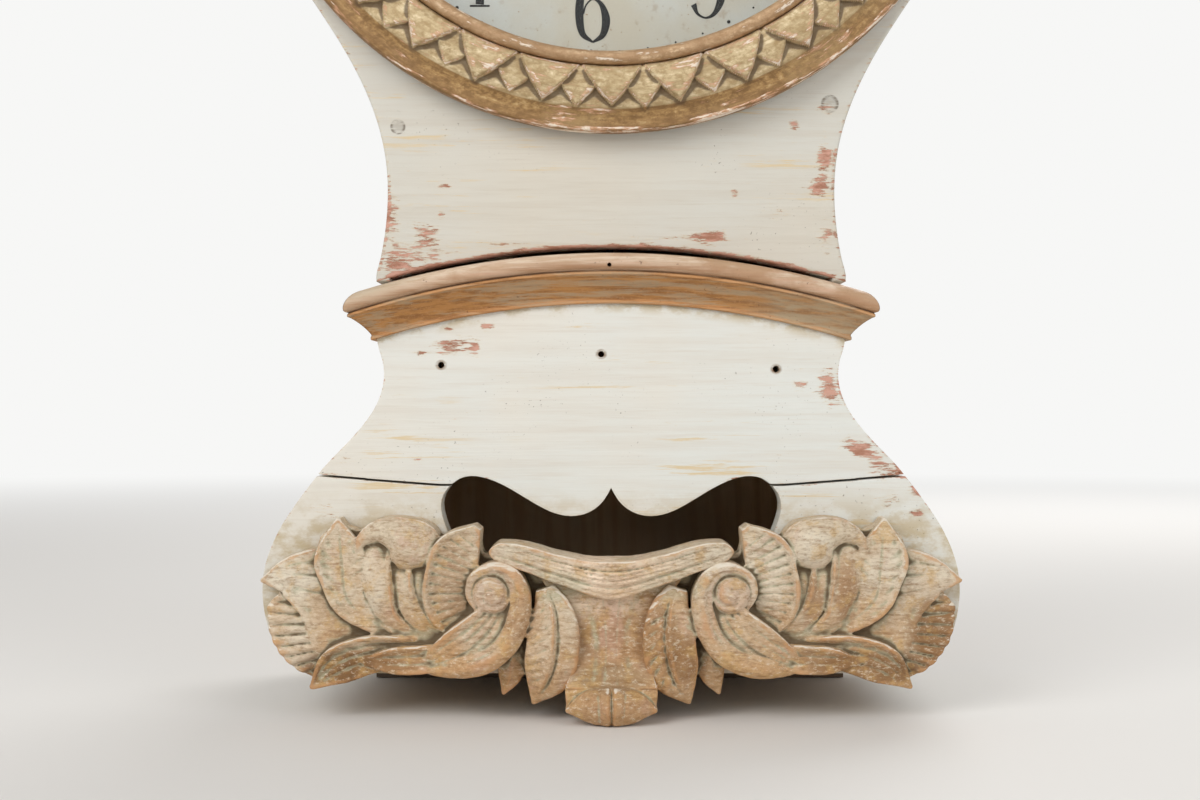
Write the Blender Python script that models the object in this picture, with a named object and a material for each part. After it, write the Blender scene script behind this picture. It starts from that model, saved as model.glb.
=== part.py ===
"""Painted and gilded table clock with a waisted case, a round head and carved acanthus base.

Metres, +Z up, the dial faces -Y. The origin is under the middle of the clock, on the floor.
"""
import math

import bmesh
import bpy
from mathutils import Matrix, Vector
from mathutils.geometry import interpolate_bezier

MM = 0.001
RING_SIDES = 48            # of the large rings

# Fits
GAP = 0.3 * MM             # between pieces that touch
RUN = 0.3 * MM             # round a shaft in its hole
BORE_RUN = RUN * 1.2       # the same in a hole of few sides, whose flats stand inside its corners
SINK = 1 * MM              # how far a shape runs into the one it is joined to

# Depth of the case, front face to rear face, and of the foot in front of it
CASE_DEPTH = 165 * MM
FOOT_PROJECTION = 45 * MM
FRONT_BOARD = 20 * MM
BACK_BOARD = 12 * MM
WALL = 8 * MM
END_STRAIGHT = 3 * MM      # straight ends of the bent side boards
FRONT_Y = (FOOT_PROJECTION - CASE_DEPTH) / 2
BACK_Y = FRONT_Y + CASE_DEPTH
INNER_Y = FRONT_Y + FRONT_BOARD
REAR_Y = BACK_Y - BACK_BOARD

# Base outline, half widths and heights, from the floor board to the shoulder
BASE_FLOOR = 21 * MM
FLOOR_HALF = 150 * MM
FLOOR_BOARD = 12 * MM
BELLY_HALF = 182.5 * MM
BELLY_Z = 66 * MM
FLARE_HALF = 150 * MM
FLARE_Z = 129 * MM
FLARE_LEAN = (-14 * MM, 15.5 * MM)
WAIST_HALF = 118.8 * MM
SHOULDER_HALF = 122.5 * MM
DECK_Z = 214 * MM
SHOULDER_Z = DECK_Z - 18 * MM
WAIST_Z = SHOULDER_Z - 18 * MM
DECK_BOARD = 11.5 * MM
DECK_TOP = DECK_Z + GAP + DECK_BOARD
BOARD_JOINT_Z = 119.5 * MM
BOARD_JOINT = 1.2 * MM

# Opening in the base that shows the bob, half outline
MOUTH_PEAK_Z = 118 * MM
MOUTH_TONGUE = (21 * MM, 103.2 * MM)
MOUTH_LOBE_TOP = (73.5 * MM, 124.2 * MM)
MOUTH_HALF = 89 * MM
MOUTH_WIDEST_Z = 109 * MM
MOUTH_CHEEK = (83 * MM, 90 * MM)
MOUTH_SILL = (74 * MM, 78 * MM)

# Arched moulding round the shoulder
MOULDING_TOP_Z = 240.4 * MM
MOULDING_RADIUS = 440 * MM
MOULDING_HEIGHT = 26 * MM
MOULDING_PROJECTION = 15.5 * MM
BEAD_HEIGHT = 12.5 * MM
BEAD_BULGE = 5.5 * MM
COVE_LIP = 2.5 * MM
FILLET = (1 * MM, 1.5 * MM)

# Hood: neck, flare and round head
HOOD_FOOT_HALF = 123 * MM
HOOD_HEEL = 7 * MM
HOOD_ARCH_Z = 244.3 * MM
HOOD_ARCH_RADIUS = 420 * MM
NECK_HALF = 117 * MM
NECK_Z = 274 * MM
NECK_HANDLE = 60 * MM
HEAD_RADIUS = 199 * MM
HEAD_Z = 497 * MM
HEAD_JOIN = math.radians(24)
HEAD_HANDLE = 45 * MM
HOOD_FOOT_Z = DECK_TOP + GAP

# Bezel door: gilded ring, bead, glass
BEZEL_MARGIN = 4 * MM
BEZEL_WIDTH = 40.5 * MM
BEZEL_GAP = 4 * MM
BEZEL_DEPTH = 24 * MM
BEAD_WIDTH = 7.2 * MM
BEAD_DEPTH = 22 * MM
GLASS = 2 * MM
GLASS_LAP = 3.5 * MM
GLASS_SEAT = 5.7 * MM
BEZEL_CHAMFER = 1 * MM
RETAINER = 3 * MM
BEZEL_OUTER = HEAD_RADIUS - BEZEL_MARGIN
BEZEL_INNER = BEZEL_OUTER - BEZEL_WIDTH
BEZEL_BACK = FRONT_Y - BEZEL_GAP
OPENING_RADIUS = BEZEL_INNER + GLASS_LAP

# Bezel hinges
HINGE_SHEET = 0.7 * MM
HINGE_PIN = 0.6 * MM
HINGE_LEAF = 24 * MM
HINGE_KNUCKLE = 8 * MM
HINGE_SPREAD = 30 * MM
HINGE_X = HEAD_RADIUS - 2 * MM
HINGE_Y = FRONT_Y - BEZEL_GAP / 2

# Dial and hands
DIAL_SETBACK = 4 * MM
DIAL_SHEET = 1.5 * MM
DIAL_LAP = 7 * MM
DIAL_CLEAR = 1 * MM        # round the hour pipe
DIAL_RADIUS = OPENING_RADIUS + DIAL_LAP
DIAL_Y = INNER_Y + DIAL_SETBACK
HOUR_HAND = 84 * MM
MINUTE_HAND = 124 * MM
HAND_SHEET = 1.4 * MM
HAND_BOSS = 3 * MM
HAND_STALK = 1.5 * MM
HAND_SPADE = 4.5 * MM
HOUR_HAND_OUT = 5 * MM     # backs of the hands in front of the dial, and the end of their arbor
MINUTE_HAND_OUT = 9 * MM
HAND_ARBOR_OUT = 15 * MM
COLLET_RADIUS = 4 * MM
HANDS_SHOWN = (math.radians(305), math.radians(60))

# Movement frame
MOTION_SPACE = 14.5 * MM
PLATE = 3 * MM
PLATE_SPACE = 40 * MM
PLATE_HALF = 46 * MM
PLATE_BELOW = 80 * MM
PLATE_ABOVE = 68 * MM
PILLAR_INSET = 7 * MM
PILLAR = 4 * MM
TENON = 2.2 * MM
FRONT_PLATE_Y = DIAL_Y + DIAL_SHEET + MOTION_SPACE
TRAIN_Y = FRONT_PLATE_Y + PLATE
BACK_PLATE_Y = TRAIN_Y + PLATE_SPACE

# Going train: tooth counts, modules and wheel places in depth behind the front plate
PINION_LEAVES = 6
GREAT_TEETH = 72
CENTRE_TEETH = 54
THIRD_TEETH = 66
ESCAPE_TEETH = 30
GREAT_MODULE = 1.0 * MM
CENTRE_MODULE = 0.9 * MM
THIRD_MODULE = 0.7 * MM
ESCAPE_RADIUS = 17 * MM
ESCAPE_TOOTH = 4 * MM
WHEEL_HUB = 5 * MM
WHEEL_RIM = 2.8 * MM
WHEEL_ARM = 4 * MM
ESCAPE_RISE = 31 * MM
PALLET_DROP = 24.5 * MM
ARBOR = 1.5 * MM
ARBOR_END = 1 * MM
BARREL_ARBOR = 4 * MM
BARREL_RADIUS = 28 * MM
BARREL_WALL = 1.5 * MM
BARREL_LENGTH = 19.5 * MM
BARREL_LID = 2 * MM
SPRING_TURNS = 4
SPRING_STRIP = 0.8 * MM
GREAT_PLACE = (3 * MM, 5.5 * MM)
CENTRE_PINION_PLACE = (1.5 * MM, 7.5 * MM)
CENTRE_PLACE = (31 * MM, 32.6 * MM)
THIRD_PINION_PLACE = (28.5 * MM, 35 * MM)
THIRD_PLACE = (20 * MM, 21.5 * MM)
ESCAPE_PINION_PLACE = (17 * MM, 25 * MM)
ESCAPE_PLACE = (7 * MM, 8.2 * MM)
ANCHOR_PLACE = (5 * MM, 10 * MM)

# Motion work, with its places in front of the front plate
CANNON_LEAVES = 8
MINUTE_TEETH = 24
HOUR_TEETH = 24
MOTION_DISTANCE = 14.4 * MM
CANNON_PIPE = 2.5 * MM
HOUR_PIPE = 4 * MM
MINUTE_STUD = 1 * MM
MINUTE_STUD_LENGTH = 10.5 * MM
CANNON_PLACE = (1 * MM, 4.5 * MM)
MINUTE_PLACE = (2 * MM, 3.5 * MM)
HOUR_PLACE = (8 * MM, 9.5 * MM)

# Winding work
RATCHET_TEETH = 24
RATCHET_RADIUS = 12 * MM
RATCHET_TOOTH = 1.6 * MM
RATCHET_PLACE = (1 * MM, 3.5 * MM)
WINDING_SQUARE = 5 * MM
WINDING_HOLE = 5 * MM
SQUARE_OUT = 2.5 * MM
CLICK_PIVOT = (17 * MM, 10 * MM)
CLICK_CLEAR = 0.5 * MM
CLICK_TIP = math.radians(62)
CLICK_EYE = 3.4 * MM
CLICK_BACK = (2.5 * MM, 3 * MM)
CLICK_SPRING = (14 * MM, 6 * MM)
CLICK_STRIP = 0.8 * MM

# Pendulum, crutch and back cock, with their places behind the back plate
PENDULUM_LENGTH = 365 * MM
PENDULUM_PLACE = 16 * MM
PENDULUM_Y = BACK_PLATE_Y + PLATE + PENDULUM_PLACE
PENDULUM_ROD = 2 * MM
PENDULUM_SLOT = 40 * MM
SUSPENSION_SHEET = 0.4 * MM
SUSPENSION_WIDTH = 5 * MM
SUSPENSION_LENGTH = 14 * MM
BOB_RADIUS = 27 * MM
BOB_HALF_THICKNESS = 8 * MM
BOB_SWING = 20 * MM
RATING_NUT = 7 * MM
ROD_END = 5 * MM
CRUTCH_LENGTH = 62 * MM
CRUTCH_PLACE = (2 * MM, 5 * MM)
CRUTCH_HALF = 2 * MM
FORK_REACH = 5 * MM
FORK_HEIGHT = 3 * MM
COCK_PLACE = (8 * MM, 11 * MM)
COCK_HALF = 17 * MM
COCK_LEG = 4 * MM
COCK_DROP = 7 * MM
COCK_RISE = 12 * MM
CHOP_HALF = 3 * MM

# Places of the arbors, (x, z)
CENTRE_AT = (0.0, HEAD_Z)
BARREL_AT = (0.0, HEAD_Z - (GREAT_TEETH + PINION_LEAVES) * GREAT_MODULE / 2)
ESCAPE_AT = (0.0, HEAD_Z + ESCAPE_RISE)
ANCHOR_AT = (0.0, HEAD_Z + ESCAPE_RISE + PALLET_DROP)
MINUTE_AT = (MOTION_DISTANCE, HEAD_Z)
CLICK_AT = (CLICK_PIVOT[0], BARREL_AT[1] + CLICK_PIVOT[1])
THIRD_REACH = (CENTRE_TEETH + PINION_LEAVES) * CENTRE_MODULE / 2
ESCAPE_REACH = (THIRD_TEETH + PINION_LEAVES) * THIRD_MODULE / 2
THIRD_RISE = (THIRD_REACH ** 2 - ESCAPE_REACH ** 2 + ESCAPE_RISE ** 2) / (2 * ESCAPE_RISE)
THIRD_AT = (-math.sqrt(THIRD_REACH ** 2 - THIRD_RISE ** 2), HEAD_Z + THIRD_RISE)

# Seat for the movement
SEAT_BOARD = 14 * MM
SEAT_HALF = 70 * MM
UPRIGHT = 14 * MM
UPRIGHT_X = 60 * MM
SEAT_MARGIN = 3 * MM
SEAT_FRONT = FRONT_PLATE_Y - SEAT_MARGIN
SEAT_BACK = BACK_PLATE_Y + PLATE + SEAT_MARGIN
SEAT_TOP = HEAD_Z - PLATE_BELOW - GAP
SEAT_SCREW = 2 * MM

# Carving
CARVED_GROUND = 10 * MM
CORNICE_PROJECTION = 38 * MM
CORNICE_TOP_Z = 84.5 * MM
CORNICE_UNDER_Z = 64 * MM
CORNICE_END = (58 * MM, 93.5 * MM)
CORNICE_EDGE = 6 * MM
STEM_PROJECTION = 28 * MM
STEM_HALF = 16.5 * MM
STEM_WAIST = 14.5 * MM
FOOT_HALF = 22 * MM
FOOT_HEIGHT = 19 * MM
FOOT_ROUND = 8 * MM
VOLUTE_AT = (62.6 * MM, 64 * MM)
VOLUTE_RADIUS = 17 * MM
VOLUTE_RISE = 18 * MM
EYE_RADIUS = 9 * MM
EYE_RISE = 23 * MM
REAR_RAIL = 30 * MM
REAR_RAIL_HALF = 138 * MM

for old in list(bpy.data.objects):
    bpy.data.objects.remove(old)


def finish(name, colour, roughness, metallic=0.0):
    """A plain surface finish."""
    made = bpy.data.materials.new(name)
    made.use_nodes = True
    shader = made.node_tree.nodes["Principled BSDF"]
    shader.inputs["Base Color"].default_value = (*colour, 1.0)
    shader.inputs["Roughness"].default_value = roughness
    shader.inputs["Metallic"].default_value = metallic
    return made


CREAM = finish("cream_paint", (0.70, 0.64, 0.55), 0.75)
GILT = finish("worn_gilding", (0.52, 0.33, 0.12), 0.45, 0.4)
CARVED = finish("carved_wood", (0.38, 0.25, 0.13), 0.7)
PINE = finish("bare_pine", (0.40, 0.26, 0.14), 0.8)
BRASS = finish("clock_brass", (0.62, 0.44, 0.17), 0.35, 1.0)
STEEL = finish("clock_steel", (0.42, 0.42, 0.43), 0.35, 1.0)
IRON = finish("dark_iron", (0.09, 0.085, 0.08), 0.55, 0.8)
DIAL_PAINT = finish("dial_paint", (0.58, 0.60, 0.57), 0.5)
PANE = finish("old_glass", (0.85, 0.88, 0.86), 0.05)
PANE.node_tree.nodes["Principled BSDF"].inputs["Transmission Weight"].default_value = 1.0


# Small modelling helpers

def piece(name, bm, surface, at=(0, 0, 0), parent=None, smooth=False):
    """Make an object from a mesh in world coordinates, with its origin at the given point."""
    bmesh.ops.recalc_face_normals(bm, faces=bm.faces)
    bmesh.ops.translate(bm, verts=bm.verts, vec=-Vector(at))
    mesh = bpy.data.meshes.new(name)
    bm.to_mesh(mesh)
    bm.free()
    mesh.materials.append(surface)
    if smooth:
        mesh.shade_smooth()
        mesh.set_sharp_from_angle(angle=math.radians(35))
    made = bpy.data.objects.new(name, mesh)
    bpy.context.collection.objects.link(made)
    made.location = Vector(at)
    if parent:
        made.parent = parent
        made.location = Vector(at) - parent.location
    return made


def axis_empty(name, at):
    """An empty on a joint axis, which the pieces of a moving body hang from."""
    made = bpy.data.objects.new(name, None)
    bpy.context.collection.objects.link(made)
    made.location = at
    return made


def shape_with(target, bm, operation):
    """Cut a hidden helper shape from a piece, or join it on."""
    tool = piece(f"{target.name}.{operation.lower()}.{len(target.modifiers)}", bm, target.active_material)
    tool.hide_render = True
    tool.display_type = "WIRE"
    change = target.modifiers.new(tool.name, "BOOLEAN")
    change.operation = operation
    change.solver = "EXACT"
    change.object = tool


def prism(bm, outline, start, end, axis="Y"):
    """Closed prism: an outline in the plane across an axis, run from start to end along it."""
    def place(a, b, along):
        return (a, along, b) if axis == "Y" else (a, b, along)
    face = bm.faces.new([bm.verts.new(place(a, b, start)) for a, b in outline])
    grown = bmesh.ops.extrude_face_region(bm, geom=[face])["geom"]
    moved = [v for v in grown if isinstance(v, bmesh.types.BMVert)]
    step = (0, end - start, 0) if axis == "Y" else (0, 0, end - start)
    bmesh.ops.translate(bm, verts=moved, vec=step)


def block(bm, x, y, z):
    """Box between pairs of limits."""
    prism(bm, [(x[0], z[0]), (x[1], z[0]), (x[1], z[1]), (x[0], z[1])], y[0], y[1])


def rod(bm, start, end, radius, sides=16, end_radius=None):
    """Round bar, or cone, between two points."""
    start, end = Vector(start), Vector(end)
    turn = (end - start).to_track_quat("Z", "Y").to_matrix().to_4x4()
    bmesh.ops.create_cone(
        bm, cap_ends=True, segments=sides, radius1=radius,
        radius2=radius if end_radius is None else end_radius,
        depth=(end - start).length, matrix=Matrix.Translation((start + end) / 2) @ turn)


def turned(bm, profile, at=(0.0, 0.0), steps=24, ring=False):
    """Turn a profile of (radius, y) about an axis along Y; a ring's profile is a closed loop."""
    verts = [bm.verts.new((at[0] + radius, y, at[1])) for radius, y in profile]
    edges = [bm.edges.new(pair) for pair in zip(verts, verts[1:])]
    if ring:
        edges.append(bm.edges.new((verts[-1], verts[0])))
    bmesh.ops.spin(bm, geom=verts + edges, cent=(at[0], 0, at[1]), axis=(0, 1, 0),
                   angle=math.tau, steps=steps, use_merge=True)
    bmesh.ops.remove_doubles(bm, verts=bm.verts, dist=1e-6)


def curve(p0, p1, p2, p3, steps):
    """Points on a cubic curve, both ends included."""
    ends = [Vector((x, z, 0)) for x, z in (p0, p1, p2, p3)]
    return [(p.x, p.y) for p in interpolate_bezier(*ends, steps + 1)]


def arc(centre, radius, start, end, steps):
    """Points on an arc, both ends included."""
    angles = [start + (end - start) * i / steps for i in range(steps + 1)]
    return [(centre[0] + radius * math.cos(a), centre[1] + radius * math.sin(a)) for a in angles]


def mirrored(path):
    """The same path on the other side, run the other way."""
    return [(-x, z) for x, z in reversed(path)]


def band(path, thickness):
    """Outline of a strip of even thickness on the left of a path."""
    inner = []
    for i, (x, z) in enumerate(path):
        ahead = path[min(i + 1, len(path) - 1)]
        behind = path[max(i - 1, 0)]
        run = Vector((ahead[0] - behind[0], ahead[1] - behind[1])).normalized()
        inner.append((x - run.y * thickness, z + run.x * thickness))
    return path + inner[::-1]


def arch_z(x, top, radius):
    """Height of a shallow arch at a distance from its middle."""
    return top - radius + math.sqrt(radius ** 2 - x ** 2)


def flip(outline, side):
    """An outline for the right, or mirrored for the left."""
    return [(side * x, z) for x, z in outline]


def scaled(points):
    """Points given in millimetres."""
    return [(x * MM, z * MM) for x, z in points]


def depth(place):
    """Places behind the front plate as world depths."""
    return TRAIN_Y + place[0], TRAIN_Y + place[1]


# Case outlines

def base_flank():
    """Right edge of the base, from the floor board up to the deck."""
    floor = (FLOOR_HALF, BASE_FLOOR)
    belly = (BELLY_HALF, BELLY_Z)
    flare = (FLARE_HALF, FLARE_Z)
    waist = (WAIST_HALF, WAIST_Z)
    shoulder = (SHOULDER_HALF, SHOULDER_Z)
    low = BELLY_Z - BASE_FLOOR
    high = WAIST_Z - FLARE_Z
    straight = (FLOOR_HALF + END_STRAIGHT, BASE_FLOOR)
    path = [floor] + curve(straight, (FLOOR_HALF + (BELLY_HALF - FLOOR_HALF) * 0.68, BASE_FLOOR),
                           (BELLY_HALF, BELLY_Z - low * 0.53), belly, 7)
    path += curve(belly, (BELLY_HALF, BELLY_Z + (FLARE_Z - BELLY_Z) * 0.35),
                  (FLARE_HALF - FLARE_LEAN[0], FLARE_Z - FLARE_LEAN[1]), flare, 7)[1:]
    path += curve(flare, (FLARE_HALF + FLARE_LEAN[0], FLARE_Z + FLARE_LEAN[1]),
                  (WAIST_HALF, WAIST_Z - high * 0.41), waist, 6)[1:]
    rise = SHOULDER_Z - WAIST_Z
    path += curve(waist, (WAIST_HALF, WAIST_Z + rise * 0.44),
                  (SHOULDER_HALF, SHOULDER_Z - rise * 0.3), shoulder, 3)[1:]
    return path + [(SHOULDER_HALF, DECK_Z)]


def hood_flank():
    """Right edge of the hood, from its foot up to where it runs into the round head."""
    foot = (HOOD_FOOT_HALF, HOOD_FOOT_Z)
    neck = (NECK_HALF, NECK_Z)
    lift = NECK_Z - HOOD_FOOT_Z
    straight = (HOOD_FOOT_HALF, HOOD_FOOT_Z + END_STRAIGHT)
    path = [foot] + curve(straight, ((HOOD_FOOT_HALF + NECK_HALF) / 2, HOOD_FOOT_Z + lift * 0.3),
                          (NECK_HALF, NECK_Z - lift * 0.4), neck, 4)
    join = (HEAD_RADIUS * math.cos(HEAD_JOIN), HEAD_Z - HEAD_RADIUS * math.sin(HEAD_JOIN))
    before, straight = [(join[0] - d * math.sin(HEAD_JOIN), join[1] - d * math.cos(HEAD_JOIN))
                        for d in (HEAD_HANDLE, END_STRAIGHT)]
    return path + curve(neck, (NECK_HALF, NECK_Z + NECK_HANDLE), before, straight, 10)[1:] + [join]


def head_arc(inset=0.0, trim=0.0):
    """Edge of the round head, from the right flank over the top to the left one."""
    start = -HEAD_JOIN + trim / HEAD_RADIUS
    return arc((0, HEAD_Z), HEAD_RADIUS - inset, start, math.pi - start, 32)


def mouth_outline():
    """Outline of the opening in the base front."""
    peak = MOUTH_PEAK_Z - MOUTH_TONGUE[1]
    right = curve((0, MOUTH_PEAK_Z), (MOUTH_TONGUE[0] * 0.2, MOUTH_TONGUE[1] + peak * 0.34),
                  (MOUTH_TONGUE[0] * 0.55, MOUTH_TONGUE[1]), MOUTH_TONGUE, 4)
    reach = MOUTH_LOBE_TOP[0] - MOUTH_TONGUE[0]
    right += curve(MOUTH_TONGUE, (MOUTH_TONGUE[0] + reach * 0.33, MOUTH_TONGUE[1]),
                   (MOUTH_LOBE_TOP[0] - reach * 0.37, MOUTH_LOBE_TOP[1]), MOUTH_LOBE_TOP, 6)[1:]
    widest = (MOUTH_HALF, MOUTH_WIDEST_Z)
    right += curve(MOUTH_LOBE_TOP, ((MOUTH_LOBE_TOP[0] + MOUTH_HALF) / 2, MOUTH_LOBE_TOP[1]),
                   (MOUTH_HALF, (MOUTH_WIDEST_Z + MOUTH_LOBE_TOP[1]) / 2), widest, 4)[1:]
    right += curve(widest, (MOUTH_HALF, (MOUTH_WIDEST_Z * 2 + MOUTH_CHEEK[1]) / 3),
                   ((MOUTH_CHEEK[0] * 2 + MOUTH_HALF) / 3, (MOUTH_CHEEK[1] * 4 + MOUTH_WIDEST_Z) / 5),
                   MOUTH_CHEEK, 3)[1:]
    right += [MOUTH_SILL]
    return right + mirrored(right)[:-1]


# Base

def build_base():
    flank = base_flank()
    across = [SHOULDER_HALF * (1 - i / 8) for i in range(17)]
    arch = [(x, arch_z(x, MOULDING_TOP_Z, MOULDING_RADIUS)) for x in across]
    front = flank[:-1] + arch + mirrored(flank[:-1])
    joint_low = BOARD_JOINT_Z - BOARD_JOINT / 2
    joint_high = BOARD_JOINT_Z + BOARD_JOINT / 2
    wide = BELLY_HALF * 1.2
    past = (FRONT_Y - FRONT_BOARD, INNER_Y + FRONT_BOARD)
    split = (MOUTH_LOBE_TOP[0] + MOUTH_HALF) / 2
    split_z = (MOUTH_TONGUE[1] + MOUTH_SILL[1]) / 2
    for name, joint, end in (("base_front_upper", joint_high, 0), ("base_front_lower", joint_low, HEAD_Z)):
        bm = bmesh.new()
        prism(bm, front, FRONT_Y, INNER_Y)
        board = piece(name, bm, CREAM)
        right = [(0, split_z), (split, split_z), (split, joint), (wide, joint), (wide, end)]
        bm = bmesh.new()
        prism(bm, right + mirrored(right)[:-1], *past)
        shape_with(board, bm, "DIFFERENCE")
        bm = bmesh.new()
        prism(bm, mouth_outline(), *past)
        shape_with(board, bm, "DIFFERENCE")

    for name, side in (("base_side_right", 1), ("base_side_left", -1)):
        bm = bmesh.new()
        prism(bm, flip(band(flank, WALL), side), INNER_Y + GAP, REAR_Y - GAP)
        piece(name, bm, CREAM)

    inside = (INNER_Y + GAP, REAR_Y - GAP)
    bm = bmesh.new()
    floor_half = FLOOR_HALF - GAP
    block(bm, (-floor_half, floor_half), inside, (BASE_FLOOR, BASE_FLOOR + FLOOR_BOARD))
    piece("base_floor", bm, PINE)

    bm = bmesh.new()
    block(bm, (-SHOULDER_HALF, SHOULDER_HALF), inside, (DECK_Z + GAP, DECK_TOP))
    deck = piece("base_deck", bm, PINE)
    bm = bmesh.new()
    slot_half = BOB_RADIUS + BOB_SWING
    block(bm, (-slot_half, slot_half), (PENDULUM_Y - PENDULUM_SLOT / 2, PENDULUM_Y + PENDULUM_SLOT / 2),
          (DECK_Z - DECK_BOARD, DECK_TOP + DECK_BOARD))
    shape_with(deck, bm, "DIFFERENCE")

    bm = bmesh.new()
    rim = flank + hood_flank() + head_arc()[1:-1]
    left = mirrored(flank + hood_flank())
    prism(bm, rim + left, REAR_Y, BACK_Y)
    piece("back_board", bm, PINE)

    bm = bmesh.new()
    rail_back = REAR_Y - GAP
    block(bm, (-REAR_RAIL_HALF, REAR_RAIL_HALF), (rail_back - REAR_RAIL, rail_back), (0, BASE_FLOOR - GAP))
    piece("rear_foot_rail", bm, PINE)


def moulding_profile():
    """Section of the moulding, (projection, height): lip, cove, fillet and round bead."""
    bead_start = MOULDING_HEIGHT - BEAD_HEIGHT
    root = MOULDING_PROJECTION - BEAD_BULGE
    cove = curve((COVE_LIP, 0), (COVE_LIP, bead_start * 0.6), (root * 0.5, bead_start * 0.9),
                 (root - FILLET[0], bead_start - FILLET[1]), 4)
    bead = [(root + BEAD_BULGE * math.sin(math.pi * i / 6),
             bead_start + BEAD_HEIGHT * (1 - math.cos(math.pi * i / 6)) / 2) for i in range(7)]
    return [(0, 0)] + cove + bead + [(0, MOULDING_HEIGHT)]


def moulding_point(projection, height, share):
    """Point of the front moulding; share runs from -1 to 1 along the arch, mitre to mitre."""
    radius = MOULDING_RADIUS - MOULDING_HEIGHT + height
    middle = MOULDING_TOP_Z - MOULDING_RADIUS
    angle = share * math.asin((SHOULDER_HALF + projection) / radius)
    return Vector((radius * math.sin(angle), FRONT_Y - GAP - projection, middle + radius * math.cos(angle)))


def loft(bm, rings):
    """Closed body through a row of rings of points."""
    rows = [[bm.verts.new(p) for p in ring] for ring in rings]
    count = len(rows[0])
    for a, b in zip(rows, rows[1:]):
        for i in range(count):
            bm.faces.new((a[i], a[(i + 1) % count], b[(i + 1) % count], b[i]))
    bm.faces.new(rows[0][::-1])
    bm.faces.new(rows[-1])


def build_moulding():
    profile = moulding_profile()
    bm = bmesh.new()
    loft(bm, [[moulding_point(p, h, -1 + i / 8) for p, h in profile] for i in range(17)])
    piece("shoulder_moulding_front", bm, GILT, smooth=True)
    mitre = GAP * 1.5
    for name, side in (("shoulder_moulding_right", 1), ("shoulder_moulding_left", -1)):
        ends = [moulding_point(p, h, side) for p, h in profile]
        bm = bmesh.new()
        near = [p + Vector((side * GAP, mitre, 0)) for p in ends]
        far = [Vector((p.x + side * GAP, REAR_Y - GAP, p.z)) for p in ends]
        loft(bm, [near, far])
        piece(name, bm, GILT, smooth=True)


# Carving

def leaf(spine, half_width, root_y, rise):
    """Lens-shaped leaf along a curve of four points, with a raised ridge."""
    stations = 6
    path = curve(*scaled(spine), stations)
    bm = bmesh.new()
    tips = [bm.verts.new((path[i][0], root_y, path[i][1])) for i in (0, -1)]
    rings = []
    for i in range(1, stations):
        (x, z), behind, ahead = path[i], path[i - 1], path[i + 1]
        run = Vector((ahead[0] - behind[0], ahead[1] - behind[1])).normalized()
        share = math.sin(math.pi * (i / stations) ** 0.8)
        width = half_width * share
        rings.append([bm.verts.new(p) for p in (
            (x - run.y * width, root_y, z + run.x * width),
            (x, root_y - rise * share, z),
            (x + run.y * width, root_y, z - run.x * width),
            (x, root_y + CARVED_GROUND * 0.35, z))])
    for a, b in zip(rings, rings[1:]):
        for i in range(4):
            bm.faces.new((a[i], a[(i + 1) % 4], b[(i + 1) % 4], b[i]))
    for i in range(4):
        bm.faces.new((tips[0], rings[0][(i + 1) % 4], rings[0][i]))
        bm.faces.new((tips[1], rings[-1][i], rings[-1][(i + 1) % 4]))
    return bm


# Silhouette of the leaf group, and its leaves: curve, half width and rise in millimetres
GROUND_OUTLINE = [
    (24, 63), (20, 46), (22, 30), (30, 24), (57, 27), (67, 22), (100, 21.5), (126, 21), (150, 19),
    (158, 21), (168, 28), (176, 38), (180, 52), (180, 68), (177, 76), (153, 84), (150, 92), (140, 102),
    (130, 94), (119, 102), (108, 105), (96, 101), (88, 88), (78, 96), (69, 99), (66, 85), (52, 78),
    (42, 71.5)]
LEAVES = [
    (((47, 60), (44, 30), (70, 20), (100, 26)), 9, 17),
    (((80, 48), (98, 60), (92, 84), (70, 98)), 11, 13),
    (((98, 78), (108, 72), (130, 82), (131, 88)), 8, 9),
    (((88, 92), (96, 106), (116, 106), (130, 88)), 9, 15),
    (((112, 45), (150, 48), (156, 82), (140, 101)), 12, 11),
    (((146, 62), (158, 72), (168, 76), (180, 71)), 7, 7),
    (((98, 41), (126, 44), (146, 36), (155, 16)), 8, 10),
    (((90, 37), (104, 40), (118, 33), (129, 29)), 5, 12),
    (((153, 40), (164, 44), (172, 48), (178, 54)), 8, 6),
    (((150, 32), (158, 32), (164, 32), (172, 36)), 7, 6),
    (((34, 66), (28, 48), (30, 26), (39, 8)), 11, 15),
    (((48, 40), (52, 34), (50, 24), (55.5, 12)), 6, 9)]


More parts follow.
